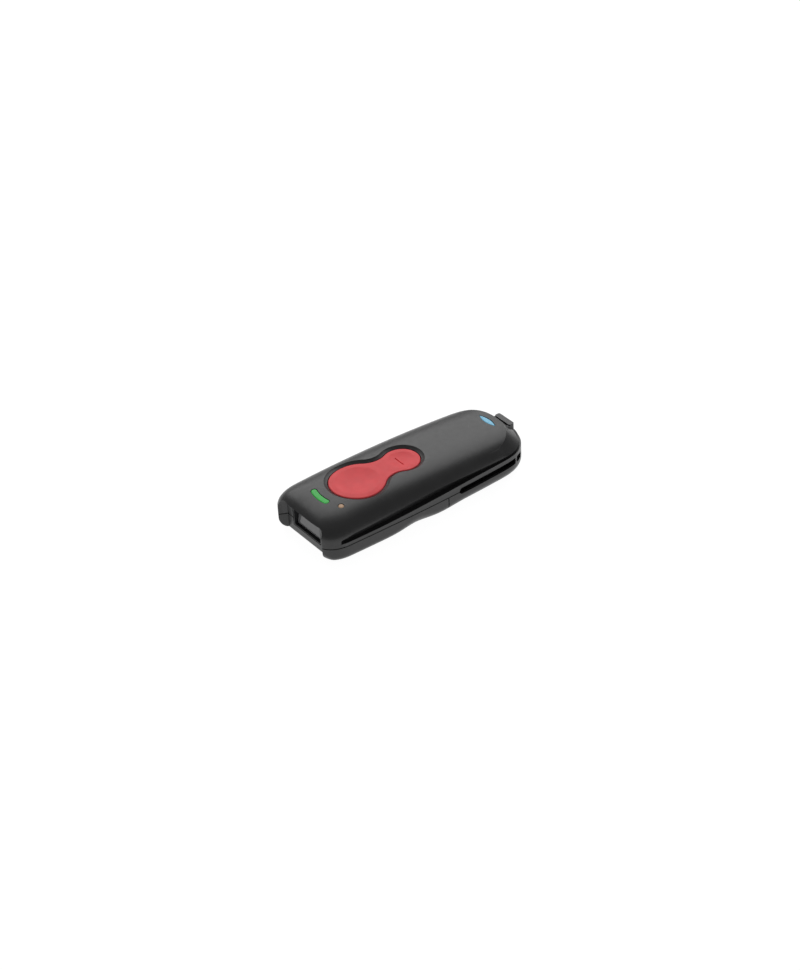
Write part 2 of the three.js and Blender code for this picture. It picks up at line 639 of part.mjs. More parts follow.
// The bottom cap of a sphere, which presses a round dish of a width and depth into a surface
function dish(pad, surfaceZ) {
  const radius = (pad.dishRadius ** 2 + pad.dishDepth ** 2) / (2 * pad.dishDepth);
  const arc = Math.asin(pad.dishRadius / radius) * 1.25;
  const outline = [];
  for (let i = 0; i <= 5; i += 1) {
    const angle = (arc * i) / 5;
    outline.push(new THREE.Vector2(radius * Math.sin(angle), -radius * Math.cos(angle)));
  }
  outline.push(new THREE.Vector2(0, outline[5].y));
  const geometry = new THREE.LatheGeometry(outline, 28);
  geometry.rotateX(Math.PI / 2);
  geometry.translate(pad.x, 0, surfaceZ + radius - pad.dishDepth);
  return solid(geometry);
}

function scanKey() {
  const cap = plate(keyShape(), KEY.bottomZ, CROWN.z).intersect(underDome(0, KEY.drop, 0));
  const hub = block(WAIST_X - 2.1, WAIST_X + 2.1, -6.6, 6.6, PIN.z - 0.85, KEY.bottomZ + 0.5);
  const bigPost = drum(BIG_PAD.x, 0, 2.5, 18.15, KEY.bottomZ + 0.2);
  const smallPost = drum(SMALL_PAD.x, 0, 2, 17.85, KEY.bottomZ + 0.2);
  const bore = lyingDrum("y", [WAIST_X, 0, PIN.z], PIN.boreRadius, 20, 12);
  const markZ = deckTop(SMALL_PAD.x) - KEY.drop - SMALL_PAD.dishDepth - 0.4;
  const mark = block(SMALL_PAD.x + 1, SMALL_PAD.x + 1.6, -3.4, 3.4, markZ, 25);
  return join([cap, hub, bigPost, smallPost])
    .subtract(dish(BIG_PAD, deckTop(BIG_PAD.x) - KEY.drop - 0.1))
    .subtract(dish(SMALL_PAD, deckTop(SMALL_PAD.x) - KEY.drop - 0.02))
    .subtract(bore)
    .subtract(mark);
}

function keySealMat() {
  const sheet = plate(keyShape(2), 16.35, 16.95);
  const pads = [drum(BIG_PAD.x, 0, 3, 16.5, 17.42), drum(SMALL_PAD.x, 0, 2.4, 16.5, 17.42)];
  const nubs = [BIG_PAD.x, SMALL_PAD.x].map((x) => drum(x, 0, 1.5, 13.15, 16.6, 12));
  return join([sheet, ...pads, ...nubs]);
}

// ---- Window ----

function windowBezel() {
  const [side, low, high] = [WINDOW.halfWidth - 0.2, WINDOW.bottomZ + 0.2, WINDOW.topZ - 0.2];
  const sleeve = block(52.3, MOUTH.backX - 0.1, -side, side, low, high);
  const throat = block(52.8, 60, 0.6 - side, side - 0.6, low + 0.5, high - 0.5);
  const back = block(50, 54, 1.7 - side, side - 1.7, low + 1.5, high - 1.5);
  return sleeve.subtract(throat).subtract(back);
}

function scanWindow() {
  const geometry = new THREE.BoxGeometry(0.9, 20.3, 9.7);
  geometry.rotateY(THREE.MathUtils.degToRad(-WINDOW.paneTilt));
  geometry.translate(54.45, 0, (WINDOW.bottomZ + WINDOW.topZ) / 2);
  return solid(geometry);
}

function windowGasket() {
  return block(51.6, 52.15, -10.6, 10.6, 4.5, 14.7).subtract(block(50, 53, -9, 9, 5.6, 13.6));
}

// ---- Lights ----

const lightPipe = (shape, bottomZ, segments) =>
  plate(shape, bottomZ, CROWN.z + 2, segments).intersect(underDome(0, 0, 0));

function led(x, y, z) {
  return block(x - 1.6, x + 1.6, y - 0.8, y + 0.8, z, z + 0.35).add(drum(x, y, 0.75, z, z + 0.75, 12));
}

// ---- Rear fittings ----

function lanyardBar() {
  const { halfWidth: side, armWidth, outerX, innerX, bottomZ, topZ } = LANYARD;
  const bar = plate(roundedRectangle(outerX, innerX, -side, side, 0.8), bottomZ, topZ, 3);
  const arms = [1, -1].map((hand) => {
    const edges = [hand * (side - armWidth), hand * side].sort((a, b) => a - b);
    return block(innerX - 1, POCKET.frontX + WALL + 1.6, ...edges, bottomZ + 1, topZ - 0.5);
  });
  return join([bar, ...arms]);
}

function usbSocket() {
  const { halfWidth: side, bottomZ, height, mouthX, length } = SOCKET;
  const shell = block(mouthX, mouthX + length, -side, side, bottomZ, bottomZ + height);
  const mouthCut = block(-65, mouthX + length - 0.5, 0.35 - side, side - 0.35, bottomZ + 0.35,
    bottomZ + height - 0.35);
  const blade = block(mouthX + 0.8, mouthX + length - 0.2, -2, 2, bottomZ + 1.05, bottomZ + 1.55);
  return shell.subtract(mouthCut).add(blade);
}

// ---- Electronics ----

function mainBoard() {
  const outline = prism(BOARD.inset, BOARD.bottomZ, BOARD_TOP);
  const sized = outline.intersect(block(-57.5, BOARD.frontX, -30, 30, 0, 20));
  const notches = SCREW_PLACES.map(([x, y]) => drum(x, y, 3.3, 0, 20));
  return sized.subtract(join(notches));
}

function tactSwitch(x) {
  const body = block(x - 3, x + 3, -3, 3, ON_BOARD, ON_BOARD + 3);
  const plunger = drum(x, 0, 1.7, ON_BOARD + 2.5, ON_BOARD + 3.6);
  return body.add(plunger);
}

function radioShield() {
  const can = plate(roundedRectangle(-46, -30, -8, 8, 1), ON_BOARD, ON_BOARD + 2, 3);
  const dimples = [-43, -38, -33].map((x) => drum(x, 5, 0.6, ON_BOARD + 1.6, 20, 8));
  return can.subtract(join(dimples));
}

function beeper() {
  const outline = [
    [0, 0],
    [4.4, 0],
    [4.4, 3],
    [1.1, 3],
    [1.1, 2.2],
    [0, 2.2],
  ];
  const geometry = new THREE.LatheGeometry(outline.map(([r, z]) => new THREE.Vector2(r, z)), 20);
  geometry.rotateX(Math.PI / 2);
  geometry.translate(-20, -10, ON_BOARD);
  return solid(geometry);
}

const MOTOR = { x: -20, y: 8, z: ON_BOARD + 2.3, radius: 2, length: 8 };

function vibrationMotor() {
  const can = lyingDrum("x", [MOTOR.x, MOTOR.y, MOTOR.z], MOTOR.radius, MOTOR.length);
  const foot = block(MOTOR.x - 3, MOTOR.x + 3, MOTOR.y - 1.6, MOTOR.y + 1.6, ON_BOARD, MOTOR.z - 1);
  const shaft = lyingDrum("x", [MOTOR.x + MOTOR.length / 2 + 1.9, MOTOR.y, MOTOR.z], 0.35, 4, 8);
  return join([can, foot, shaft]);
}

// A half disc on the motor's shaft, heavy side down at rest
function vibrationWeight() {
  const x = MOTOR.x + MOTOR.length / 2 + 0.5;
  const disc = lyingDrum("x", [x + 1.5, MOTOR.y, MOTOR.z], MOTOR.radius, 3);
  const hub = lyingDrum("x", [x + 1.5, MOTOR.y, MOTOR.z], 0.9, 3);
  const half = disc.intersect(block(x - 1, x + 5, -20, 20, 0, MOTOR.z));
  const bore = lyingDrum("x", [x + 1.5, MOTOR.y, MOTOR.z], 0.45, 10, 8);
  return half.add(hub).subtract(bore);
}

function imagerBody() {
  const { frontX, rearX, halfWidth: side, bottomZ, topZ } = IMAGER;
  const body = block(rearX, frontX, -side, side, bottomZ, topZ);
  const lensHole = lyingDrum("x", [frontX, LENS.y, LENS.z], LENS.radius + 0.2, 12);
  const lampHoles = [-1, 1].map((hand) =>
    block(frontX - 1.5, frontX + 1, hand * 7.3 - 2, hand * 7.3 + 2, 7.2, 11.2),
  );
  const aimerHole = lyingDrum("x", [frontX, 4.4, 6.2], 1.35, 5, 12);
  return body.subtract(join([lensHole, ...lampHoles, aimerHole]));
}

function lensBarrel() {
  const outline = [
    [0, 0],
    [LENS.radius, 0],
    [LENS.radius, 5.6],
    [2.2, 5.6],
    [1.6, 4.4],
    [0, 4.4],
  ];
  const geometry = new THREE.LatheGeometry(outline.map(([r, x]) => new THREE.Vector2(r, x)), 20);
  geometry.rotateZ(-Math.PI / 2);
  geometry.translate(45.6, LENS.y, LENS.z);
  return solid(geometry);
}

function imagerLens() {
  const outline = [
    [0, 0],
    [1.45, 0],
    [1.45, 0.25],
    [0.8, 0.6],
    [0, 0.7],
  ];
  const geometry = new THREE.LatheGeometry(outline.map(([r, x]) => new THREE.Vector2(r, x)), 16);
  geometry.rotateZ(-Math.PI / 2);
  geometry.translate(50.1, LENS.y, LENS.z);
  return solid(geometry);
}

function illuminationLed(hand) {
  const y = hand * 7.3;
  const base = block(50, 50.9, y - 1.7, y + 1.7, 7.5, 10.9);
  return base.add(lyingDrum("x", [50.9, y, 9.2], 1.1, 0.8, 12));
}

const aimerLens = () => lyingDrum("x", [50.3, 4.4, 6.2], 1.15, 2.4, 12);

// Flat flex from the back of the imager to the main board
function imagerFlex() {
  const outline = new THREE.Shape();
  const thickness = 0.3;
  const route = [
    [31, BOARD_TOP + 0.15],
    [34.6, BOARD_TOP + 0.15],
    [35.6, 10.5],
    [35.6, 11.6],
    [37.2, 12.6],
  ];
  route.forEach(([x, z], i) => (i ? outline.lineTo(x, z) : outline.moveTo(x, z)));
  route.reverse().forEach(([x, z]) => outline.lineTo(x - thickness / 3, z + thickness));
  return strip(outline, -4, 4);
}

// ---- Battery ----

const batteryPack = () => plate(roundedRectangle(-51, -13, -15.5, 15.5, 2), 2, TRAY.ceilingZ - GAP, 4);

function contactBlock() {
  const body = block(-11.2, BAY.frontX - 0.15, -7, 7, 2.3, 6.6);
  const slits = [-4.5, 0, 4.5].map((y) => block(-12, -10.2, y - 1, y + 1, 2.9, 6));
  return body.subtract(join(slits));
}

function contactBlade(y) {
  const bow = new THREE.Shape();
  bow.moveTo(-10.65, 3);
  bow.quadraticCurveTo(-14.6, 4.45, -10.65, 5.9);
  bow.lineTo(-10.35, 5.9);
  bow.quadraticCurveTo(-13.8, 4.45, -10.35, 3);
  return strip(bow, y - 0.8, y + 0.8);
}

// ---- The scanner ----

const scanner = new THREE.Group();
const add = (name, shape, material) => scanner.add(piece(name, shape, material));

add("top_cover", topCover(), COVER);
add("bottom_cover", bottomCover(), COVER);
add("battery_door", batteryDoor(), COVER);
add("scan_key", scanKey(), KEY_RED);
add("key_pivot_pin", lyingDrum("y", [WAIST_X, 0, PIN.z], PIN.radius, 2 * PIN.halfLength, 12), STEEL);
add("key_seal_mat", keySealMat(), SILICONE);
add("window_bezel", windowBezel(), BLACK);
add("scan_window", scanWindow(), WINDOW_GLASS);
add("window_gasket", windowGasket(), FOAM);
add("good_read_light_pipe", lightPipe(goodReadShape(), 15.9), GREEN_LENS);
const batteryShape = circleShape(BATTERY_LIGHT.x, BATTERY_LIGHT.y, BATTERY_LIGHT.radius);
add("battery_light_pipe", lightPipe(batteryShape, 15.9, 6), AMBER_LENS);
add("radio_light_pipe", lightPipe(radioShape(), 10.4), BLUE_LENS);
add("lanyard_bar", lanyardBar(), COVER);
add("usb_socket", usbSocket(), STEEL);
SCREW_PLACES.forEach(([x, y], i) => add(`cover_screw_${i + 1}`, screw(x, y), STEEL));
const labelSide = LABEL.halfWidth - 0.15;
add("label_plate", block(LABEL.rearX + 0.15, LABEL.frontX - 0.15, -labelSide, labelSide, 0.1, 0.35), LABEL_GREY);
add("main_board", mainBoard(), BOARD_GREEN);
add("scan_switch", tactSwitch(BIG_PAD.x), BLACK);
add("clear_switch", tactSwitch(SMALL_PAD.x), BLACK);
const indicatorBoard = block(40, 50.5, -8, 13.6, INDICATOR_BOARD_Z, INDICATOR_BOARD_Z + 0.6);
add("indicator_board", indicatorBoard, BOARD_GREEN);
add("good_read_led", led(48.3, 0, INDICATOR_BOARD_Z + 0.65), LED_WHITE);
add("battery_led", led(BATTERY_LIGHT.x, BATTERY_LIGHT.y, INDICATOR_BOARD_Z + 0.65), LED_WHITE);
add("radio_led", led(RADIO_LIGHT.x, 0, ON_BOARD), LED_WHITE);
add("radio_shield", radioShield(), TIN);
add("processor_chip", block(10, 19, -4.5, 4.5, ON_BOARD, ON_BOARD + 1.1), BLACK);
add("beeper", beeper(), BLACK);
add("vibration_motor", vibrationMotor(), STEEL);
add("vibration_weight", vibrationWeight(), TIN);
add("imager_body", imagerBody(), BLACK);
add("imager_lens_barrel", lensBarrel(), BLACK);
add("imager_lens", imagerLens(), WINDOW_GLASS);
[-1, 1].forEach((hand, i) => add(`illumination_led_${i + 1}`, illuminationLed(hand), LED_WHITE));
add("aimer_lens", aimerLens(), WINDOW_GLASS);
add("imager_board", block(37.6, 38.7, -10, 10, 4.5, 13.5), BOARD_GREEN);
add("imager_flex", imagerFlex(), FLEX_AMBER);
add("battery_pack", batteryPack(), CELL_BLUE);
add("contact_block", contactBlock(), BLACK);
[-4.5, 0, 4.5].forEach((y, i) => add(`contact_blade_${i + 1}`, contactBlade(y), GOLD));

export default scanner;
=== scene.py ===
"""A pocket barcode scanner in Blender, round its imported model.

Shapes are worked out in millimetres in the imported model's frame (+X out of the scan window, +Y left,
+Z up out of the key) and turned into metres as each piece is finished.
"""

import math

import bmesh
import bpy
import numpy as np
from mathutils import Matrix


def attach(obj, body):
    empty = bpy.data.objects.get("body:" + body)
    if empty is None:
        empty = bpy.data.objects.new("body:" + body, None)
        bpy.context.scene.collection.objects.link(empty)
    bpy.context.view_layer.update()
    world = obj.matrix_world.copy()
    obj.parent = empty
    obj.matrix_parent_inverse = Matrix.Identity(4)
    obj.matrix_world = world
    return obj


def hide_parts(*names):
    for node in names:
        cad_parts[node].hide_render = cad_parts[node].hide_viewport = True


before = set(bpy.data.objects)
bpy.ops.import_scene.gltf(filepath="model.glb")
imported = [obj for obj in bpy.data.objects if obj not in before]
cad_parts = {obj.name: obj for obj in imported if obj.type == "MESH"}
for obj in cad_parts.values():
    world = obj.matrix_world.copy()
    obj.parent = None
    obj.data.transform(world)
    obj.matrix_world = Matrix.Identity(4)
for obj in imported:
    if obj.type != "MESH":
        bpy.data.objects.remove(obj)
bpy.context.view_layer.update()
scene = bpy.context.scene

MM = 0.001

# ---- Driving dimensions of the body, in millimetres ----

HALF_LENGTH, HALF_WIDTH, WIDEST_X = 63, 24.44, 10.5
BASE_Z = 11.9  # where the deck's vault would meet the outline
FRONT_TAPER, REAR_TAPER, TAPER_LENGTH = 1.04, 2.5, 60
FRONT_CAP = {"length": 13.9, "power_x": 2.28, "power_y": 4.78}
REAR_CAP = {"length": 21.9, "power_x": 2.99, "power_y": 2.17}
FRONT_SPINE_X = HALF_LENGTH - 0.9 * HALF_WIDTH
REAR_SPINE_X = HALF_WIDTH - HALF_LENGTH

PARTING_Z, PARTING_GAP, GAP = 7.95, 0.45, 0.3
WALL, DECK_WALL, DOOR_WALL = 1.6, 1.3, 1.5
CROWN_Z, CROWN_X, FRONT_SAG, REAR_SAG = 22.4, 15, 3.6, 1.76
FLANGE = {"front_z": 9.9, "rear_z": 12.0, "front_x": 40, "rear_x": -30, "end_rise": 0.6}

# The underside's edge: a round that grows at the rear, at the finger relief and in front
EDGE = {"radius": 3.6, "rear": 1.6, "relief": 2.9, "front": 2.9}
EDGE_REAR_X = -20
RELIEF_X, RELIEF_LENGTH = 11, 9

# The deck's vault, the bevel that cuts it off at the rear, and the crease where they meet
DOME_POWER, DOME_ROUND = 3.58, 0.527
BEVEL = {"foot": 1.24, "foot_z": 13.3, "slope": 1.07, "side_rise": 2.1, "end_rise": 0.8}
CREASE_STEP = 0.2
STEADY_CREASE = 0.86  # where the deck's finer rows start when there is no bevel

# The groove over the flange: the lip's height, how far the wall stands in from it, and the sunk rear corners
GROOVE = {
    "top_z": 15.2, "top_x": 0,
    "rear_z": 13.3, "rear_x": -60, "end_rise": 1.3,
    "front_z": 13.2, "front_x": 54, "front_drop": 1.2,
    "step": 2.2, "rear_step": 1.2, "step_x": (-40, -15),
    "lip": 0.5, "rim": 0.4, "moat": 1,
}
OVER_SOCKET = (0.93, 0.975)  # how far round the end the flange rises over the charging socket

BIG_PAD = {"x": 27.5, "radius": 13.76, "dish": 10.7, "depth": 1.25}
SMALL_PAD = {"x": 1.7, "radius": 9.15, "dish": 6.6, "depth": 0.8}
WAIST_ROUND, WAIST_X = 10.6, 10.66
KEY_DROP, KEY_BOTTOM_Z, KEY_CLEARANCE = 0.9, 18.9, 0.35
KEY_ROLL = 0.55
MARK = {"from_x": 0.95, "to_x": 1.55, "side": 3.5, "depth": 0.4}
COLLAR, COLLAR_Z = 2.6, 17.05
LIP_WIDTH, LIP_DEPTH, LIP_HOLLOW = 1.9, 1.1, 0.6
PIN_Z, PIN_BORE, PIN_HALF = 18.1, 0.95, 9.1

GREEN = {"radius": 21.3, "width": 2.9, "start": -17, "end": 11.5}
AMBER = {"x": 45.1, "y": 11.5, "radius": 1.35}
BLUE = {"x": -50.2, "long": 6, "wide": 1.5}
LIGHT_GAP, LIGHT_HOLE_Z = 0.2, 15

MOUTH_X, MOUTH_SIDE, MOUTH_TOP, MOUTH_CORNER, CHEEK_FOOT = 57.4, 15.5, 16.4, 2.5, 0.8
MOUTH_FLARE_Y, MOUTH_FLARE_Z = 0.03, 0.013
WINDOW_SIDE, WINDOW_LOW, WINDOW_HIGH = 11.15, 3.9, 15.3
PANE = {"side": 10.15, "half_height": 4.85, "half_depth": 0.45, "x": 54.45, "lean": -10}
SILL_RADIUS = 0.6

SLOT = {"low": 6.4, "high": 9.85, "front_x": -14, "rear_x": -50.3, "depth": 3.2}
CORNER_SLOT, SLOT_CORNER = (-55.5, -51.5), 0.6
SEAM_X, SEAM_GAP = -7.3, 0.5
BAR = {"side": 5.8, "arm": 1.4, "outer_x": -62.2, "inner_x": -59.2, "low": 13.4, "high": 16.8}
POCKET_X, POCKET_SIDE, POCKET_Z = -56.8, 6.1, 12.9
SOCKET = {"side": 3.75, "low": 9.35, "height": 2.6, "mouth_x": -62.3, "length": 5.4, "metal": 0.35}
SOCKET_WELL = {"x": (-65, -54), "side": 5.2}

BOARD_Z, BULKHEAD_X = 8.3, -5.65
TRAY = {"inset": 3.9, "wall": 0.9, "low": 1.9, "ceiling": 7, "top": 10.3, "rear_x": -58.4}
BAY = (-57, -8.6)
SCREWS = [(46, 17.2), (46, -17.2), (-1.5, 17.6), (-1.5, -17.6)]
SCREW = {"head_z": 1.2, "head_height": 1.4, "head": 1.9, "shank": 0.8, "tip_z": 12.6, "pitch": 0.54,
         "ridge": 0.16}
LABEL_X, LABEL_SIDE, LABEL_RECESS = (6, 30), 10, 0.45

# How finely things are cut
CAP_STEPS, SIDE_STEPS, CORNER_STEPS, DRUM_SIDES = 30, 36, 6, 32
SMOOTH_ANGLE = math.radians(32)


# ---- Meshes, solids and cuts ----

def solid(name, points, faces):
    """A closed mesh object in millimetres, with doubled points merged and normals outward."""
    mesh = bpy.data.meshes.new(name)
    mesh.from_pydata(np.asarray(points, float).tolist(), [], faces)
    shape = bmesh.new()
    shape.from_mesh(mesh)
    bmesh.ops.remove_doubles(shape, verts=shape.verts, dist=1e-4)
    bmesh.ops.triangulate(shape, faces=[face for face in shape.faces if len(face.verts) == 4])
    bmesh.ops.recalc_face_normals(shape, faces=shape.faces)
    shape.to_mesh(mesh)
    shape.free()
    made = bpy.data.objects.new(name, mesh)
    scene.collection.objects.link(made)
    return made


def loft(name, rings, caps=True):
    """A skin over rings of the same number of points."""
    count = len(rings[0])
    faces = []
    for k in range(len(rings) - 1):
        for i in range(count):
            j = (i + 1) % count
            faces.append((k * count + i, k * count + j, (k + 1) * count + j, (k + 1) * count + i))
    if caps:
        faces.append(tuple(range(count)))
        faces.append(tuple((len(rings) - 1) * count + i for i in range(count)))
    return solid(name, np.concatenate(rings), faces)


def at_height(outline, z):
    """A shape drawn in plan, lying at a height or at a height for each point."""
    return np.column_stack([outline, np.broadcast_to(z, len(outline))])


def at_x(outline, x):
    """A shape drawn in front view (Y across, Z up), standing at x."""
    return np.column_stack([np.full(len(outline), x), outline])


def plate(name, outline, z0, z1):
    return loft(name, [at_height(outline, z0), at_height(outline, z1)])


def side_plate(name, outline, y0, y1):
    """A shape drawn in side view (X across, Z up), reaching from y0 to y1."""
    rings = [np.column_stack([outline[:, 0], np.full(len(outline), y), outline[:, 1]]) for y in (y0, y1)]
    return loft(name, rings)


def block(name, x, y, z):
    outline = np.array([(x[0], y[0]), (x[1], y[0]), (x[1], y[1]), (x[0], y[1])], float)
    return plate(name, outline, *z)


def arc(centre, radius, start, end, steps):
    angles = np.linspace(start, end, steps)
    return np.column_stack([centre[0] + radius * np.cos(angles), centre[1] + radius * np.sin(angles)])


def circle(centre, radius, sides=DRUM_SIDES):
    return arc(centre, radius, 0, 2 * math.pi, sides + 1)[:-1]


def rounded_rectangle(x, y, radius):
    quarter = math.pi / 2
    corners = [(x[1], y[0], -1), (x[1], y[1], 0), (x[0], y[1], 1), (x[0], y[0], 2)]
    middle = (sum(x) / 2, sum(y) / 2)
    return np.concatenate([
        arc(
            (cx - math.copysign(radius, cx - middle[0]), cy - math.copysign(radius, cy - middle[1])),
            radius, turn * quarter, (turn + 1) * quarter, CORNER_STEPS,
        )
        for cx, cy, turn in corners
    ])


def drum(name, x, y, radius, z0, z1):
    return plate(name, circle((x, y), radius), z0, z1)


def lying_drum(name, x, z, radius, y0, y1):
    return side_plate(name, circle((x, z), radius), y0, y1)


def cut(target, tools, operation="DIFFERENCE"):
    """Cuts the tools out of the target, or joins or keeps what they share, and uses the tools up."""
    for tool in tools:
        step = target.modifiers.new("cut", "BOOLEAN")
        step.solver = "MANIFOLD"
        step.operation = operation
        step.object = tool
    bpy.context.view_layer.update()
    evaluated = target.evaluated_get(bpy.context.evaluated_depsgraph_get())
    mesh = bpy.data.meshes.new_from_object(evaluated)
    target.modifiers.clear()
    target.data = mesh
    for tool in tools:
        bpy.data.objects.remove(tool)
    return target


def join(target, tools):
    return cut(target, tools, "UNION")


def keep(target, tools):
    return cut(target, tools, "INTERSECT")


def finish(made, body, nodes, material, bevel=0.15, segments=2):
    """Turns a piece into metres, rounds its edges, and says where it belongs."""
    shape = bmesh.new()
    shape.from_mesh(made.data)
    bmesh.ops.remove_doubles(shape, verts=shape.verts, dist=0.01)
    bmesh.ops.dissolve_degenerate(shape, edges=shape.edges, dist=0.005)
    shape.to_mesh(made.data)
    shape.free()
    made.data.transform(Matrix.Scale(MM, 4))
    made.data.shade_smooth()
    made.data.set_sharp_from_angle(angle=SMOOTH_ANGLE)
    if bevel:
        edge = made.modifiers.new("edge_round", "BEVEL")
        edge.width = bevel * MM
        edge.segments = segments
        edge.limit_method = "ANGLE"
        edge.angle_limit = SMOOTH_ANGLE
        edge.harden_normals = True
    made.data.materials.clear()
    made.data.materials.append(material)
    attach(made, body)
    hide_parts(*nodes)
    return made


# ---- The body's form ----

def smooth(low, high, value):
    t = np.clip((value - low) / (high - low), 0, 1)
    return t * t * (3 - 2 * t)


def blend(start, end, part):
    return start + (end - start) * part


def half_width(x):
    taper = np.where(x > WIDEST_X, FRONT_TAPER, REAR_TAPER)
    return HALF_WIDTH - taper * ((x - WIDEST_X) / TAPER_LENGTH) ** 2


def cap_points(cap, direction, angles):
    """Points of an end cap, each seen from the cap's base at an angle off the centre line."""
    across, along = np.sin(angles), np.abs(np.cos(angles))
    low, high = np.full(len(angles), 0.5), np.full(len(angles), 2.0)
    for _ in range(40):
        middle = (low + high) / 2
        outside = (along * middle) ** cap["power_x"] + (across * middle) ** cap["power_y"] > 1
        high = np.where(outside, middle, high)
        low = np.where(outside, low, middle)
    x = direction * (HALF_LENGTH - cap["length"] + cap["length"] * along * low)
    return np.column_stack([x, half_width(x) * across * low])


def outline_stations():
    """The plan outline from the front centre round the left side, the rear and the right side."""
    angles = np.linspace(0, math.pi / 2, CAP_STEPS + 1)
    sides = np.linspace(HALF_LENGTH - FRONT_CAP["length"], REAR_CAP["length"] - HALF_LENGTH, SIDE_STEPS + 1)
    left = np.concatenate([
        cap_points(FRONT_CAP, 1, angles[:-1]),
        np.column_stack([sides, half_width(sides)])[:-1],
        cap_points(REAR_CAP, -1, angles[::-1]),
    ])
    return np.concatenate([left, left[-2:0:-1] * (1, -1)])


STATION_X, STATION_Y = outline_stations().T


def deck_top(x):
    return CROWN_Z - np.where(x > CROWN_X, FRONT_SAG, REAR_SAG) * ((x - CROWN_X) / HALF_LENGTH) ** 2


def over_socket(facing):
    """Part of the very end, over the charging socket."""
    return smooth(*OVER_SOCKET, facing)


def flange_z(x, facing):
    """Top of the strip round the top cover's rim."""
    side = blend(FLANGE["rear_z"], FLANGE["front_z"], smooth(FLANGE["rear_x"], FLANGE["front_x"], x))
    return side + FLANGE["end_rise"] * over_socket(facing)


def groove_top_z(x, facing):
    """The lip over the groove: highest near the middle, low at the rear corners, up again behind."""
    behind = (GROOVE["top_z"] - GROOVE["rear_z"]) * (1 - smooth(GROOVE["rear_x"], GROOVE["top_x"], x))
    ahead = (GROOVE["top_z"] - GROOVE["front_z"]) * smooth(GROOVE["top_x"], GROOVE["front_x"], x)
    drop = GROOVE["front_drop"] * smooth(GROOVE["front_x"] - 8, GROOVE["front_x"] + 2, x)
    return GROOVE["top_z"] - behind - ahead - drop + GROOVE["end_rise"] * smooth(0.6, 1, facing)


def rear_facing(x, y):
    """0 along the sides and front, growing to 1 at the middle of the rear."""
    behind = np.maximum(REAR_SPINE_X - x, 0)
    return behind / np.maximum(np.hypot(behind, y), 1e-6)


def bevel_foot_z(facing):
    """Height of the bevel's foot: lowest behind, and fading out upwards where the sides begin."""
    fading = BEVEL["end_rise"] * (1 - smooth(0, 0.3, facing))
    return BEVEL["foot_z"] + BEVEL["side_rise"] * (1 - facing) + fading


FACING = rear_facing(STATION_X, STATION_Y)
SPINE_X = np.clip(STATION_X, REAR_SPINE_X, FRONT_SPINE_X)


def along(reach):
    """Points part of the way from the spine to each station."""
    return SPINE_X + (STATION_X - SPINE_X) * reach, STATION_Y * reach


def dome_z(x, y, reach):
    """The rounded deck: turned round the spine's end in front, and one long vault elsewhere."""
    across = np.where(x > FRONT_SPINE_X, reach, np.abs(y) / half_width(x))
    level = np.maximum(0, 1 - across ** DOME_POWER) ** DOME_ROUND
    return BASE_Z + (deck_top(x) - BASE_Z) * level


def skin_z(reach):
    """The top cover's height at a part of the way from the spine to each station."""
    x, y = along(reach)
    rise = BEVEL["slope"] * (HALF_WIDTH * (1 - reach) - BEVEL["foot"])
    bevel = np.where(FACING > 0, bevel_foot_z(FACING) + rise, np.inf)
    return np.minimum(dome_z(x, y, reach), bevel)


def crease_reach():
    """Where the rear bevel meets the deck, or a steady part of the way where there is no bevel."""
    low, high = np.full(len(STATION_X), 0.4), np.full(len(STATION_X), 0.94)
    for _ in range(30):
        middle = (low + high) / 2
        inside = skin_z(middle) >= dome_z(*along(middle), middle) - 1e-6
        low = np.where(inside, middle, low)
        high = np.where(inside, high, middle)
    return np.where(FACING > 0, np.minimum(low, STEADY_CREASE), STEADY_CREASE)


def skin_inset(z):
    """How far in from the outline the dome or the rear bevel stands at a height."""
    level = np.clip((z - BASE_Z) / (deck_top(STATION_X) - BASE_Z), 0, 1)
    across = (1 - level ** (1 / DOME_ROUND)) ** (1 / DOME_POWER)
    behind = STATION_X < REAR_SPINE_X
    narrowing = np.where(behind, half_width(STATION_X) / np.maximum(np.abs(STATION_Y), 0.1), 1)
    dome = HALF_WIDTH * (1 - np.minimum(across * narrowing, 1))
    bevel = BEVEL["foot"] + (z - bevel_foot_z(FACING)) / BEVEL["slope"]
    return np.where(behind, np.maximum(dome, bevel), dome)


def edge_round(x, y):
    """Radius of the round along the underside's edge."""
    relief = EDGE["relief"] * np.exp(-(((x - RELIEF_X) / RELIEF_LENGTH) ** 2))
    ahead = np.maximum(x - FRONT_SPINE_X, 0)
    front = EDGE["front"] * smooth(0.6, 0.82, ahead / np.maximum(np.hypot(ahead, y), 1e-6))
    return EDGE["radius"] + EDGE["rear"] * (1 - smooth(EDGE_REAR_X, 0, x)) + relief + front


def reach_at(inset):
    return 1 - inset / HALF_WIDTH


def drawn_out(name, rows):
    """A turned profile whose circles are drawn out to the body's outline. Each row is (reach, z)."""
    rings = [at_height(np.column_stack(along(reach)), z) for reach, z in rows]
    return loft(name, rings, caps=False)


def prism(name, inset, z0, z1):
    reach = reach_at(inset)
    return drawn_out(name, [(0, z0), (reach, z0), (reach, z1), (0, z1)])


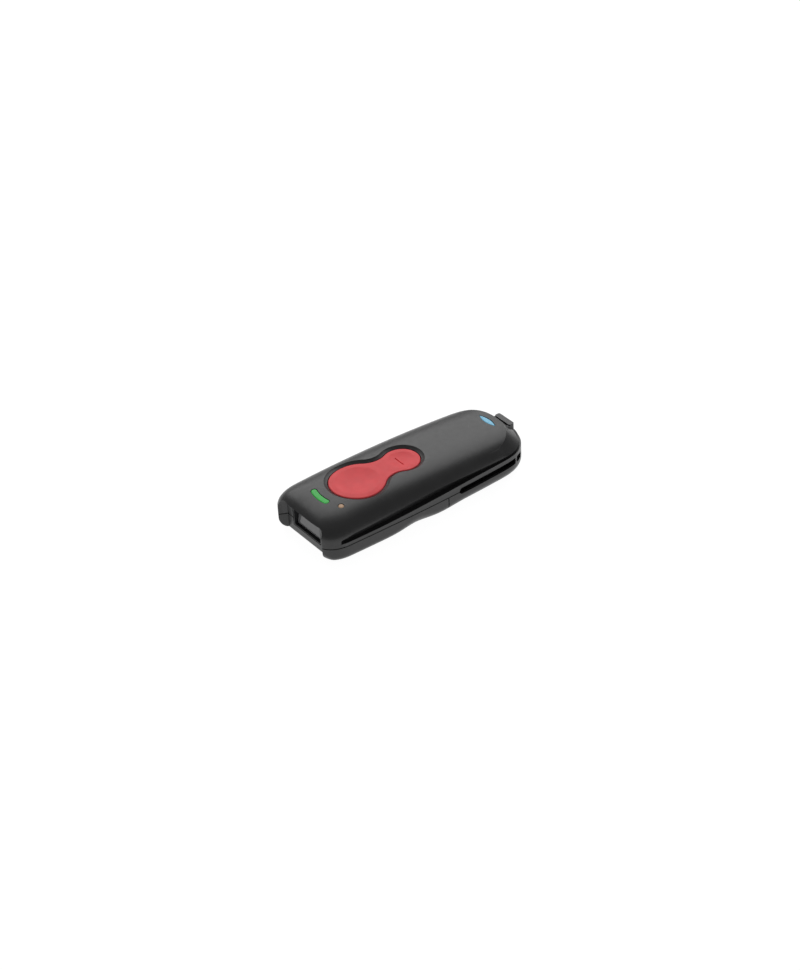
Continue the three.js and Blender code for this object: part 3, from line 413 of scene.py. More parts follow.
def under_dome(name, inset, drop, bottom_z, fine=1):
    """Everything under the top cover's outer face, set in and lowered."""
    edge = reach_at(inset)
    rim_z, lip_z = flange_z(STATION_X, FACING), groove_top_z(STATION_X, FACING)
    rows = [(0, bottom_z), (edge, bottom_z), (edge, rim_z - drop - 0.02)]

    # The rim, and up the groove's wall, which fades out in front
    grooved = 1 - smooth(GROOVE["front_x"] - 1, GROOVE["front_x"] + 0.5, STATION_X)
    step = blend(GROOVE["rear_step"], GROOVE["step"], smooth(*GROOVE["step_x"], STATION_X))
    wall = skin_inset(lip_z) + step
    moat = GROOVE["moat"] * smooth(0.5, 0.8, FACING) * (1 - over_socket(FACING))
    rows.append((edge - GROOVE["rim"] * grooved / HALF_WIDTH, rim_z - drop))
    for part in np.linspace(0, 1, 4 * fine + 1):
        z = rim_z + (lip_z - GROOVE["lip"] - rim_z) * part
        back = skin_inset(z) * (1 - grooved) + wall * grooved
        rows.append((edge - back / HALF_WIDTH, z - moat * (1 - part) - drop))

    # From the lip up the shoulder or the bevel to the crease
    foot, crease = 1 - skin_inset(lip_z) / HALF_WIDTH, crease_reach()
    notch = CREASE_STEP * smooth(0, 0.3, FACING)
    for part in smooth(0, 1, np.linspace(0, 1, 4 * fine + 1)):
        reach = foot + (crease - foot) * part
        rows.append((reach - (1 - edge), skin_z(reach) - notch * part - drop))

    # From the crease over the deck to the spine
    for part in np.linspace(0, 1, 6 * fine + 1) ** 1.6:
        reach = crease * (1 - part)
        rows.append((np.maximum(0, reach - (1 - edge)), skin_z(reach) - drop))
    return drawn_out(name, [*rows, (0, skin_z(0) - drop)])


def over_underside(name, inset, lift, top_z, fine=1):
    """Everything over the underside's outer face, set in and raised."""
    edge, radius = reach_at(inset), edge_round(STATION_X, STATION_Y)
    rows = [(0, lift)]
    for angle in np.linspace(0, math.pi / 2, 6 * fine + 1):
        reach = edge - radius * (1 - math.sin(angle)) / HALF_WIDTH
        rows.append((reach, lift + radius * (1 - math.cos(angle))))
    return drawn_out(name, [*rows, (edge, top_z), (0, top_z)])


def surface_z(x, y):
    """The top cover's height over points of the deck inside the rear crease."""
    x, y = np.asarray(x, float), np.abs(np.asarray(y, float))
    ahead = np.maximum(x - FRONT_SPINE_X, 0)
    front = (STATION_X > FRONT_SPINE_X) & (STATION_Y >= 0)
    bearing = np.arctan2(STATION_Y[front], STATION_X[front] - FRONT_SPINE_X)
    span = np.hypot(STATION_Y[front], STATION_X[front] - FRONT_SPINE_X)
    order = np.argsort(bearing)
    far = np.interp(np.arctan2(y, ahead), bearing[order], span[order])
    return dome_z(x, y, np.where(x > FRONT_SPINE_X, np.hypot(ahead, y) / far, 0))


def mouth(name, grow=0):
    """The mouth between the cheeks: an arch that widens forwards."""
    side, top, corner, foot = MOUTH_SIDE + grow, MOUTH_TOP + grow, MOUTH_CORNER + grow, CHEEK_FOOT
    arch = np.concatenate([
        [(-side - foot, -5), (side + foot, -5)],
        arc((side + foot, foot), foot, 1.5 * math.pi, math.pi, 8),
        arc((side - corner, top - corner), corner, 0, math.pi / 2, 10),
        arc((corner - side, top - corner), corner, math.pi / 2, math.pi, 10),
        arc((-side - foot, foot), foot, 0, -math.pi / 2, 8),
    ])
    rings = []
    for ahead, opening in ((-grow, 0), (2.8, 0), (3.6, 0.15), (4.3, 0.6), (5, 1.3), (10, 1.3)):
        y, z = arch[:, 0] * (1 + MOUTH_FLARE_Y * ahead), arch[:, 1] * (1 + MOUTH_FLARE_Z * ahead)
        rings.append(np.column_stack([np.full(len(arch), MOUTH_X + ahead), y + np.sign(y) * opening, z]))
    return loft(name, rings)


def window_hole(name):
    outline = rounded_rectangle((-WINDOW_SIDE, WINDOW_SIDE), (WINDOW_LOW, WINDOW_HIGH), 0.5)
    return loft(name, [at_x(outline, MOUTH_X - 2 * WALL), at_x(outline, MOUTH_X + 1)])


def side_slots(name):
    """The long slot in each side, round in front, and the small opening at each rear corner."""
    low, high, rear_x, bend = SLOT["low"], SLOT["high"], SLOT["rear_x"], SLOT_CORNER
    radius = (high - low) / 2
    slots = side_plate(name, np.concatenate([
        arc((SLOT["front_x"] - radius, (high + low) / 2), radius, -math.pi / 2, math.pi / 2, 14),
        arc((rear_x + bend, high - bend), bend, math.pi / 2, math.pi, 5),
        arc((rear_x + bend, low + bend), bend, math.pi, 1.5 * math.pi, 5),
    ]), -30, 30)
    corner = side_plate("corner", rounded_rectangle(CORNER_SLOT, (low, high), bend), -30, 30)
    return cut(join(slots, [corner]), [prism("core", SLOT["depth"], 0, 20)])


# ---- Outlines on the deck ----

def key_outline(grow=0):
    """Two discs joined by a waist of two arcs. The points keep their order whatever the growth."""
    big, small, waist = BIG_PAD["radius"] + grow, SMALL_PAD["radius"] + grow, WAIST_ROUND - grow
    spacing = BIG_PAD["x"] - SMALL_PAD["x"]
    to_big, to_small = big + waist, small + waist
    waist_x = SMALL_PAD["x"] + (to_small ** 2 - to_big ** 2 + spacing ** 2) / (2 * spacing)
    waist_y = math.sqrt(to_small ** 2 - (waist_x - SMALL_PAD["x"]) ** 2)
    big_angle = math.atan2(waist_y, waist_x - BIG_PAD["x"])
    small_angle = math.atan2(waist_y, waist_x - SMALL_PAD["x"])
    return np.concatenate([
        arc((BIG_PAD["x"], 0), big, -big_angle, big_angle, 73)[:-1],
        arc((waist_x, waist_y), waist, big_angle - math.pi, small_angle - math.pi, 19)[:-1],
        arc((SMALL_PAD["x"], 0), small, small_angle, 2 * math.pi - small_angle, 49)[:-1],
        arc((waist_x, -waist_y), waist, math.pi - small_angle, math.pi - big_angle, 19)[:-1],
    ])


def green_outline(grow=0):
    start, end = math.radians(GREEN["start"]), math.radians(GREEN["end"])
    side, centre = GREEN["width"] / 2 + grow, (BIG_PAD["x"], 0)

    def tip(angle):
        return centre[0] + GREEN["radius"] * math.cos(angle), GREEN["radius"] * math.sin(angle)

    return np.concatenate([
        arc(centre, GREEN["radius"] + side, start, end, 20),
        arc(tip(end), side, end, end + math.pi, 16)[1:-1],
        arc(centre, GREEN["radius"] - side, end, start, 20),
        arc(tip(start), side, start - math.pi, start, 16)[1:-1],
    ])


def amber_outline(grow=0):
    return circle((AMBER["x"], AMBER["y"]), AMBER["radius"] + grow, 36)


def blue_outline(grow=0):
    """A pointed lens of two arcs, lying across the deck."""
    long, wide = BLUE["long"] + grow, BLUE["wide"] + grow
    radius = (long ** 2 + wide ** 2) / (2 * wide)
    angle = math.asin(long / radius)
    return np.concatenate([
        arc((BLUE["x"] + wide - radius, 0), radius, -angle, angle, 24)[:-1],
        arc((BLUE["x"] - wide + radius, 0), radius, math.pi - angle, math.pi + angle, 24)[:-1],
    ])


# ---- Materials ----

def node_material(name):
    made = bpy.data.materials.new(name)
    made.use_nodes = True
    tree = made.node_tree
    shader = tree.nodes["Principled BSDF"]
    place = tree.nodes.new("ShaderNodeTexCoord")
    return made, tree, shader, place.outputs["Object"]


def noise(tree, place, scale, detail=3.0, stretch=None):
    made = tree.nodes.new("ShaderNodeTexNoise")
    made.inputs["Scale"].default_value = scale
    made.inputs["Detail"].default_value = detail
    if stretch:
        mapping = tree.nodes.new("ShaderNodeMapping")
        mapping.inputs["Scale"].default_value = stretch
        tree.links.new(place, mapping.inputs["Vector"])
        place = mapping.outputs["Vector"]
    tree.links.new(place, made.inputs["Vector"])
    return made.outputs["Fac"]


def spread(tree, value, low, high):
    """Noise about its middle, turned into a range."""
    made = tree.nodes.new("ShaderNodeMapRange")
    made.inputs["From Min"].default_value = 0.3
    made.inputs["From Max"].default_value = 0.7
    made.inputs["To Min"].default_value = low
    made.inputs["To Max"].default_value = high
    tree.links.new(value, made.inputs["Value"])
    return made.outputs["Result"]


def tint(tree, value, dark, light):
    made = tree.nodes.new("ShaderNodeValToRGB")
    made.color_ramp.elements[0].position = 0.3
    made.color_ramp.elements[1].position = 0.7
    made.color_ramp.elements[0].color = (*dark, 1)
    made.color_ramp.elements[1].color = (*light, 1)
    tree.links.new(value, made.inputs["Fac"])
    return made.outputs["Color"]


def grain(tree, shader, height, depth_mm, strength):
    made = tree.nodes.new("ShaderNodeBump")
    made.inputs["Distance"].default_value = depth_mm * MM
    made.inputs["Strength"].default_value = strength
    tree.links.new(height, made.inputs["Height"])
    tree.links.new(made.outputs["Normal"], shader.inputs["Normal"])


def worn(tree, colour, wear, amount):
    """Paler where edges stand out, broken up by noise."""
    geometry = tree.nodes.new("ShaderNodeNewGeometry")
    edge = tree.nodes.new("ShaderNodeMapRange")
    edge.inputs["From Min"].default_value = 0.54
    edge.inputs["From Max"].default_value = 0.62
    edge.inputs["To Max"].default_value = amount
    tree.links.new(geometry.outputs["Pointiness"], edge.inputs["Value"])
    mix = tree.nodes.new("ShaderNodeMix")
    mix.data_type = "RGBA"
    mix.inputs["B"].default_value = (*wear, 1)
    tree.links.new(edge.outputs["Result"], mix.inputs["Factor"])
    tree.links.new(colour, mix.inputs["A"])
    return mix.outputs["Result"]


def plastic(name, colour, roughness, grain_mm=0.012, grain_scale=3500, vary=0.12, wear=None, ior=1.5):
    """Moulded plastic: mottled colour and gloss, a fine spark-eroded grain, and worn edges."""
    made, tree, shader, place = node_material(name)
    dark, light = (tuple(c * (1 + sign * vary) for c in colour) for sign in (-1, 1))
    shade = tint(tree, noise(tree, place, 160), dark, light)
    if wear:
        shade = worn(tree, shade, wear, 0.5)
    tree.links.new(shade, shader.inputs["Base Color"])
    gloss = spread(tree, noise(tree, place, 420, 4), roughness * 0.9, roughness * 1.1)
    tree.links.new(gloss, shader.inputs["Roughness"])
    grain(tree, shader, noise(tree, place, grain_scale, 2), grain_mm, 0.6)
    shader.inputs["IOR"].default_value = ior
    return made


def metal(name, colour, roughness, brushed=(1, 1, 1)):
    made, tree, shader, place = node_material(name)
    lines = noise(tree, place, 900, 4, brushed)
    dark, light = (tuple(c * k for c in colour) for k in (0.86, 1.0))
    tree.links.new(tint(tree, lines, dark, light), shader.inputs["Base Color"])
    tree.links.new(spread(tree, lines, roughness * 0.75, roughness * 1.3), shader.inputs["Roughness"])
    grain(tree, shader, lines, 0.01, 0.5)
    shader.inputs["Metallic"].default_value = 1
    return made


def lens(name, colour, glow):
    """A coloured light pipe: a glossy skin over cloudy, slightly lit plastic."""
    made, tree, shader, place = node_material(name)
    dark, light = (tuple(c * k for c in colour) for k in (0.94, 1.04))
    shade = tint(tree, noise(tree, place, 700, 3), dark, light)
    tree.links.new(shade, shader.inputs["Base Color"])
    tree.links.new(shade, shader.inputs["Emission Color"])
    tree.links.new(spread(tree, noise(tree, place, 900), 0.2, 0.34), shader.inputs["Roughness"])
    shader.inputs["Emission Strength"].default_value = glow
    shader.inputs["Specular IOR Level"].default_value = 0.25
    grain(tree, shader, noise(tree, place, 1500, 2), 0.01, 0.3)
    return made


def circuit_board():
    """Green mask with paler copper tracks under it and a faint weave."""
    made, tree, shader, place = node_material("circuit_board_look")
    tracks = tree.nodes.new("ShaderNodeTexVoronoi")
    tracks.feature = "DISTANCE_TO_EDGE"
    tracks.inputs["Scale"].default_value = 420
    tree.links.new(place, tracks.inputs["Vector"])
    ramp = tree.nodes.new("ShaderNodeValToRGB")
    ramp.color_ramp.elements[0].position = 0.05
    ramp.color_ramp.elements[1].position = 0.09
    ramp.color_ramp.elements[0].color = (0.03, 0.19, 0.08, 1)
    ramp.color_ramp.elements[1].color = (0.007, 0.075, 0.028, 1)
    tree.links.new(tracks.outputs["Distance"], ramp.inputs["Fac"])
    tree.links.new(ramp.outputs["Color"], shader.inputs["Base Color"])
    tree.links.new(spread(tree, noise(tree, place, 1500), 0.32, 0.5), shader.inputs["Roughness"])
    grain(tree, shader, tracks.outputs["Distance"], 0.03, 0.5)
    return made


def battery_wrap():
    """Shrink film: smooth blue with long faint wrinkles."""
    made, tree, shader, place = node_material("cell_wrap_look")
    folds = noise(tree, place, 120, 5, (1, 4, 1))
    shade = tint(tree, folds, (0.014, 0.05, 0.13), (0.024, 0.075, 0.18))
    tree.links.new(shade, shader.inputs["Base Color"])
    tree.links.new(spread(tree, noise(tree, place, 600), 0.2, 0.38), shader.inputs["Roughness"])
    grain(tree, shader, folds, 0.15, 0.5)
    shader.inputs["Coat Weight"].default_value = 0.4
    return made


def foam():
    made, tree, shader, place = node_material("foam_look")
    cells = tree.nodes.new("ShaderNodeTexVoronoi")
    cells.inputs["Scale"].default_value = 3500
    tree.links.new(place, cells.inputs["Vector"])
    shade = tint(tree, cells.outputs["Distance"], (0.006, 0.006, 0.006), (0.028, 0.028, 0.028))
    tree.links.new(shade, shader.inputs["Base Color"])
    tree.links.new(spread(tree, cells.outputs["Distance"], 0.8, 0.98), shader.inputs["Roughness"])
    grain(tree, shader, cells.outputs["Distance"], 0.12, 1)
    return made


LOOKS = {
    "cover_plastic": plastic("cover_plastic_look", (0.016, 0.016, 0.0165), 0.34, wear=(0.05, 0.05, 0.052)),
    "key_rubber": plastic("key_rubber_look", (0.92, 0.085, 0.095), 0.5, 0.01, 3000, 0.05, ior=1.35),
    "black_trim": plastic("black_trim_look", (0.01, 0.01, 0.011), 0.5, 0.015, 3000),
    "window_pane": plastic("window_pane_look", (0.13, 0.13, 0.134), 0.1, 0.002, 900, 0.05),
    "clear_optics": plastic("clear_optics_look", (0.2, 0.21, 0.23), 0.06, 0.001, 900, 0.06),
    "green_lens": lens("green_lens_look", (0.045, 0.4, 0.07), 0.3),
    "amber_lens": lens("amber_lens_look", (0.43, 0.28, 0.18), 0.3),
    "blue_lens": lens("blue_lens_look", (0.19, 0.48, 0.67), 0.3),
    "silicone": plastic("silicone_look", (0.03, 0.03, 0.033), 0.72, 0.02, 1800),
    "foam": foam(),
    "circuit_board": circuit_board(),
    "flex_film": plastic("flex_film_look", (0.36, 0.14, 0.02), 0.32, 0.01, 1200, 0.2),
    "label_stock": plastic("label_stock_look", (0.46, 0.47, 0.48), 0.55, 0.01, 2500, 0.05),
    "cell_wrap": battery_wrap(),
    "led_package": plastic("led_package_look", (0.72, 0.7, 0.58), 0.35, 0.008, 2500, 0.08),
    "steel": metal("steel_look", (0.5, 0.51, 0.53), 0.3, (1, 6, 1)),
    "tinned_metal": metal("tinned_metal_look", (0.58, 0.59, 0.6), 0.4),
    "gold_contact": metal("gold_contact_look", (0.68, 0.42, 0.12), 0.26, (1, 8, 1)),
}


# ---- Covers ----

def key_opening(name):
    """The cutter for the opening round the key, with a hollow lip that slopes down to it from the deck."""
    inner, edge, flared = key_outline(KEY_CLEARANCE), key_outline(LIP_WIDTH), key_outline(LIP_WIDTH + 1)
    middle = key_outline((KEY_CLEARANCE + LIP_WIDTH) / 2)
    edge_z = surface_z(*edge.T)
    slope = LIP_DEPTH / (LIP_WIDTH - KEY_CLEARANCE)
    return loft(name, [
        at_height(inner, COLLAR_Z - 1),
        at_height(inner, surface_z(*inner.T) - LIP_DEPTH),
        at_height(middle, surface_z(*middle.T) - LIP_DEPTH * LIP_HOLLOW),
        at_height(edge, edge_z - 0.06),
        at_height(flared, edge_z + slope),
        at_height(flared, CROWN_Z + 3),
    ])


def light_hole(name, outline):
    return plate(name, outline(LIGHT_GAP), LIGHT_HOLE_Z, CROWN_Z + 2)


def sill_round(name):
    """Rounds under the front edge between the cheeks."""
    back_x, front_x = MOUTH_X - SILL_RADIUS, MOUTH_X + 2
    outline = np.concatenate([
        arc((back_x, SILL_RADIUS), SILL_RADIUS, -math.pi / 2, 0, 8),
        [(front_x, SILL_RADIUS), (front_x, -1), (back_x, -1)],
    ])
    return side_plate(name, outline, -MOUTH_SIDE - 0.3, MOUTH_SIDE + 0.3)


def arm_holes():
    holes = []
    for hand in (1, -1):
        edges = sorted((hand * (BAR["side"] - BAR["arm"] - 0.2), hand * (BAR["side"] + 0.2)))
        ends = (POCKET_X - 1, POCKET_X + WALL + 1)
        holes.append(block("arm_hole", ends, edges, (BAR["low"] + 0.8, BAR["high"] - 0.3)))
    return holes


def top_cover():
    inside = under_dome("inside", WALL, DECK_WALL, PARTING_Z - 1)
    wall_x, wall_y = (-70, POCKET_X + WALL), (-POCKET_SIDE - WALL, POCKET_SIDE + WALL)
    cut(inside, [
        mouth("mouth_wall", WALL),
        block("pocket_wall", wall_x, wall_y, (POCKET_Z - 0.7, 30)),
        plate("collar", key_outline(COLLAR), COLLAR_Z, CROWN_Z + 2),
        *[drum("post", x, y, 2.4, PARTING_Z + 0.5, CROWN_Z + 2) for x, y in SCREWS],
    ])
    made = under_dome("top_shell", 0, 0, PARTING_Z + PARTING_GAP / 2, fine=3)
    socket_x = (-65, SOCKET["mouth_x"] + SOCKET["length"] + 0.3)
    socket_y = (-SOCKET["side"] - 0.35, SOCKET["side"] + 0.35)
    socket_z = (SOCKET["low"] - 0.35, SOCKET["low"] + SOCKET["height"] + 0.25)
    pocket = rounded_rectangle((-70, POCKET_X), (-POCKET_SIDE, POCKET_SIDE), 0.8)
    cut(made, [
        inside,
        mouth("mouth"),
        window_hole("window"),
        plate("pocket", pocket, POCKET_Z, 30),
        side_slots("slots"),
        key_opening("key_hole"),
        lying_drum("pin_bore", WAIST_X, PIN_Z, PIN_BORE, -PIN_HALF - 0.2, PIN_HALF + 0.2),
        light_hole("green_hole", green_outline),
        light_hole("amber_hole", amber_outline),
        light_hole("blue_hole", blue_outline),
        block("socket_hole", socket_x, socket_y, socket_z),
        *arm_holes(),
        *[drum("pilot", x, y, 0.95, PARTING_Z, SCREW["tip_z"] + 0.6) for x, y in SCREWS],
    ])
    look = LOOKS["cover_plastic"]
    return finish(made, "housing", ["top_cover"], look, bevel=0.16, segments=3)


def lower_shell(name):
    made = over_underside(name, 0, 0, PARTING_Z - PARTING_GAP / 2, fine=2)
    inside = over_underside("inside", DOOR_WALL, DOOR_WALL, PARTING_Z + 1)
    cut(inside, [mouth("mouth_wall", WALL)])
    return cut(made, [inside, mouth("mouth"), window_hole("window"), sill_round("sill")])


def battery_tray():
    """The tray behind the bulkhead, which the battery door slides over."""
    inset, wall, well_z = TRAY["inset"], TRAY["wall"], BOARD_Z - GAP
    made = prism("tray", inset, TRAY["low"], TRAY["top"])
    keep(made, [
        over_underside("door_room", DOOR_WALL + 0.5, DOOR_WALL + 0.4, 20),
        under_dome("cover_room", WALL + GAP, DECK_WALL + GAP, 0),
        block("span", (TRAY["rear_x"], BULKHEAD_X + 0.2), (-30, 30), (0, 20)),
    ])
    bay = prism("bay", inset + wall, 0, TRAY["ceiling"])
    keep(bay, [block("span", BAY, (-30, 30), (-1, 20))])
    well = prism("well", inset + wall, well_z, TRAY["top"] + 5)
    keep(well, [block("span", (-70, BULKHEAD_X + 1), (-30, 30), (0, 20))])
    side = SOCKET_WELL["side"]
    return cut(made, [bay, well, block("socket_well", SOCKET_WELL["x"], (-side, side), (well_z, 20))])


def bottom_cover():
    """The front of the lower shell with its bulkhead, tray, screw posts and the tongue along its rim."""
    seam = SEAM_X + SEAM_GAP / 2
    made = keep(lower_shell("lower_front"), [block("front_part", (seam, 70), (-30, 30), (-1, 20))])
    bulkhead = over_underside("bulkhead", 1, 1, BOARD_Z - GAP)
    keep(bulkhead, [block("span", (seam, BULKHEAD_X), (-30, 30), (0, 20))])
    tongue = prism("tongue", 1.2, 6, PARTING_Z - PARTING_GAP / 2)
    join(tongue, [prism("tongue_top", 1.85, 6, 8.35)])
    cut(tongue, [prism("tongue_core", 2.7, 0, 20), mouth("mouth_wall", WALL + 0.25)])
    keep(tongue, [block("span", (BULKHEAD_X, 70), (-30, 30), (0, 20))])
    ribs = [block("rib", (41, 49), (7 * hand - 1, 7 * hand + 1), (1, 4.25)) for hand in (-1, 1)]
    posts = [drum("post", x, y, 2.9, 1, PARTING_Z - 0.1) for x, y in SCREWS]
    join(made, [bulkhead, battery_tray(), tongue, *ribs, *posts])
    head_top = SCREW["head_z"] + SCREW["head_height"] + 0.1
    label = rounded_rectangle(LABEL_X, (-LABEL_SIDE, LABEL_SIDE), 1)
    cut(made, [
        plate("label_seat", label, -1, LABEL_RECESS),
        *[drum("head_well", x, y, 2.15, -1, head_top) for x, y in SCREWS],
        *[drum("shank_hole", x, y, 1, 0, 12) for x, y in SCREWS],
    ])
    return finish(made, "housing", ["bottom_cover"], LOOKS["cover_plastic"])


def battery_door():
    seam = SEAM_X - SEAM_GAP / 2
    made = keep(lower_shell("lower_rear"), [block("rear_part", (-70, seam), (-30, 30), (-1, 20))])
    cut(made, [side_slots("slots")])
    return finish(made, "door", ["battery_door"], LOOKS["cover_plastic"])


# ---- Key ----

def key_top_z(x, y):
    """The key's upper face: the deck's form lowered, with a soft-edged dish in each pad."""
    z = surface_z(x, y) - KEY_DROP
    for pad in (BIG_PAD, SMALL_PAD):
        part = np.hypot(x - pad["x"], y) / pad["dish"]
        z = z - pad["depth"] * np.clip(1 - part ** 2, 0, 1)
    return z


def scan_key():
    """The key, with a rolled rim, a hub round the pivot pin and a post over each switch."""
    rim = key_outline()
    spine_x = np.clip(rim[:, 0], SMALL_PAD["x"], BIG_PAD["x"])
    rings = [at_height(np.column_stack([spine_x, np.zeros(len(rim))]), KEY_BOTTOM_Z),
             at_height(rim, KEY_BOTTOM_Z)]
    for angle in np.linspace(0, math.pi / 2, 6):
        edge = key_outline(-KEY_ROLL * (1 - math.cos(angle)))
        rings.append(at_height(edge, surface_z(*edge.T) - KEY_DROP - KEY_ROLL * (1 - math.sin(angle))))
    flat = key_outline(-KEY_ROLL)
    for part in np.linspace(1, 0, 30)[1:]:
        x = spine_x + (flat[:, 0] - spine_x) * part
        y = flat[:, 1] * part
        rings.append(np.column_stack([x, y, key_top_z(x, y)]))
    made = loft("rocker_key", rings, caps=False)
    hub_z = (PIN_Z - 0.85, KEY_BOTTOM_Z + 0.3)
    join(made, [
        block("hub", (WAIST_X - 2.1, WAIST_X + 2.1), (-6.6, 6.6), hub_z),
        drum("big_post", BIG_PAD["x"], 0, 2.5, 18.15, KEY_BOTTOM_Z + 0.2),
        drum("small_post", SMALL_PAD["x"], 0, 2, 17.85, KEY_BOTTOM_Z + 0.2),
    ])
    mark_x = (SMALL_PAD["x"] + MARK["from_x"], SMALL_PAD["x"] + MARK["to_x"])
    mark = rounded_rectangle(mark_x, (-MARK["side"], MARK["side"]), 0.29)
    mark_z = deck_top(SMALL_PAD["x"]) - KEY_DROP - SMALL_PAD["depth"] - MARK["depth"]
    cut(made, [
        lying_drum("bore", WAIST_X, PIN_Z, PIN_BORE, -20, 20),
        plate("mark", mark, mark_z, 25),
    ])
    return finish(made, "key", ["scan_key"], LOOKS["key_rubber"], bevel=0.08)


# ---- Window, lights and rear fittings ----

def window_bezel():
    """The frame round the pane: a deep tube with a step that the pane rests on."""
    side, low, high = WINDOW_SIDE - 0.2, WINDOW_LOW + 0.2, WINDOW_HIGH - 0.2
    outer = rounded_rectangle((-side, side), (low, high), 0.4)
    inner = rounded_rectangle((0.6 - side, side - 0.6), (low + 0.5, high - 0.5), 0.8)
    back = rounded_rectangle((1.7 - side, side - 1.7), (low + 1.5, high - 1.5), 0.8)
    front_x, step_x, rear_x = MOUTH_X - 0.1, 52.8, 52.3
    made = loft("bezel_frame", [
        at_x(outer, rear_x),
        at_x(outer, front_x),
        at_x(inner, front_x),
        at_x(inner, step_x),
        at_x(back, step_x),
        at_x(back, rear_x),
        at_x(outer, rear_x),
    ], caps=False)
    return finish(made, "housing", ["window_bezel"], LOOKS["black_trim"])


def scan_window():
    side, half_height, half_depth = PANE["side"], PANE["half_height"], PANE["half_depth"]
    outline = rounded_rectangle((-side, side), (-half_height, half_height), 0.7)
    made = loft("window_glass", [at_x(outline, -half_depth), at_x(outline, half_depth)])
    lean = Matrix.Rotation(math.radians(PANE["lean"]), 4, "Y")
    made.data.transform(Matrix.Translation((PANE["x"], 0, (WINDOW_LOW + WINDOW_HIGH) / 2)) @ lean)
    return finish(made, "housing", ["scan_window"], LOOKS["window_pane"], bevel=0.12)


def light_pipe(name, outline, bottom_z, node, slot):
    """A lens flush with the deck, its rim rolled over."""
    rings = [at_height(outline(), bottom_z)]
    for inset, drop in ((0, 0.5), (-0.05, 0.3), (-0.15, 0.14), (-0.3, 0.05), (-0.5, 0.01), (-0.8, 0)):
        edge = outline(inset)
        rings.append(at_height(edge, surface_z(*edge.T) - drop))
    made = loft(name, rings)
    return finish(made, "housing", [node], LOOKS[slot], bevel=0)


def lanyard_bar():
    outline = rounded_rectangle((BAR["outer_x"], BAR["inner_x"]), (-BAR["side"], BAR["side"]), 0.9)
    made = plate("strap_bar", outline, BAR["low"], BAR["high"])
    arms = []
    for hand in (1, -1):
        edges = sorted((hand * (BAR["side"] - BAR["arm"]), hand * BAR["side"]))
        ends = (BAR["inner_x"] - 1, POCKET_X + WALL + 1.6)
        arms.append(block("arm", ends, edges, (BAR["low"] + 1, BAR["high"] - 0.5)))
    join(made, arms)
    look = LOOKS["cover_plastic"]
    return finish(made, "housing", ["lanyard_bar"], look, bevel=0.4, segments=4)


def usb_socket():
    """The charging inlet: a rounded tube with a blade in it."""
    side, low, high = SOCKET["side"], SOCKET["low"], SOCKET["low"] + SOCKET["height"]
    front, back, sheet = SOCKET["mouth_x"], SOCKET["mouth_x"] + SOCKET["length"], SOCKET["metal"]
    outer = rounded_rectangle((-side, side), (low, high), 1)
    inner = rounded_rectangle((sheet - side, side - sheet), (low + sheet, high - sheet), 0.8)
    made = loft("charging_inlet", [
        at_x(outer, back),
        at_x(outer, front),
        at_x(inner, front),
        at_x(inner, back - 0.5),
    ])
    blade = rounded_rectangle((-2, 2), (low + 1.05, low + 1.55), 0.1)
    join(made, [loft("blade", [at_x(blade, front + 0.8), at_x(blade, back - 0.2)])])
    return finish(made, "housing", ["usb_socket"], LOOKS["steel"], bevel=0.08)


def screws():
    """Four screws with a cross in the head and a thread of turned ridges."""
    low, neck = SCREW["head_z"], SCREW["head_z"] + SCREW["head_height"]
    head, shank, tip, pitch = SCREW["head"], SCREW["shank"], SCREW["tip_z"], SCREW["pitch"]
    profile = [(0, low), (head - 0.55, low), (head - 0.2, low + 0.15), (head, low + 0.5), (head, neck)]
    ridges = [(shank - SCREW["ridge"] * (k % 2), neck + 0.3 + pitch / 2 * k) for k in range(30)]
    profile += [(shank, neck), *ridges, (shank * 0.7, tip - 0.6), (0, tip)]
    turn = circle((0, 0), 1, 40)
    for i, (x, y) in enumerate(SCREWS):
        rings = [at_height(turn * radius + (x, y), z) for radius, z in profile]
        made = loft(f"body_screw_{i + 1}", rings, caps=False)
        cut(made, [
            block("cross", (x - 1.1, x + 1.1), (y - 0.25, y + 0.25), (low - 1, low + 0.7)),
            block("cross", (x - 0.25, x + 0.25), (y - 1.1, y + 1.1), (low - 1, low + 0.7)),
        ])
        finish(made, "housing", [f"cover_screw_{i + 1}"], LOOKS["steel"], bevel=0.05)


def label_plate():
    margin = 0.15
    label_x, side = (LABEL_X[0] + margin, LABEL_X[1] - margin), LABEL_SIDE - margin
    outline = rounded_rectangle(label_x, (-side, side), 0.9)
    made = plate("blank_label", outline, 0.1, 0.35)
    return finish(made, "housing", ["label_plate"], LOOKS["label_stock"], bevel=0.05)


# ---- Parts inside ----

# Nodes shown as a copy with rounded edges: the look, and the width of the rounding
INNER = {
    "battery_pack": ("cell_wrap", 0.9),
    "radio_shield": ("tinned_metal", 0.15),
    "processor_chip": ("black_trim", 0.08),
    "beeper": ("black_trim", 0.15),
    "vibration_motor": ("steel", 0.1),
    "imager_body": ("black_trim", 0.2),
    "contact_block": ("black_trim", 0.12),
    "scan_switch": ("black_trim", 0.12),
    "clear_switch": ("black_trim", 0.12),
}

# Nodes shown as they are: the look
CARRIED = {
    "key_pivot_pin": "steel",
    "key_seal_mat": "silicone",
    "window_gasket": "foam",
    "main_board": "circuit_board",
    "indicator_board": "circuit_board",
    "imager_board": "circuit_board",
    "good_read_led": "led_package",
    "battery_led": "led_package",
    "radio_led": "led_package",
    "vibration_weight": "tinned_metal",
    "imager_lens_barrel": "black_trim",
    "imager_lens": "clear_optics",
    "illumination_led_1": "led_package",
    "illumination_led_2": "led_package",
    "aimer_lens": "clear_optics",
    "imager_flex": "flex_film",
    "contact_blade_1": "gold_contact",
    "contact_blade_2": "gold_contact",
    "contact_blade_3": "gold_contact",
}


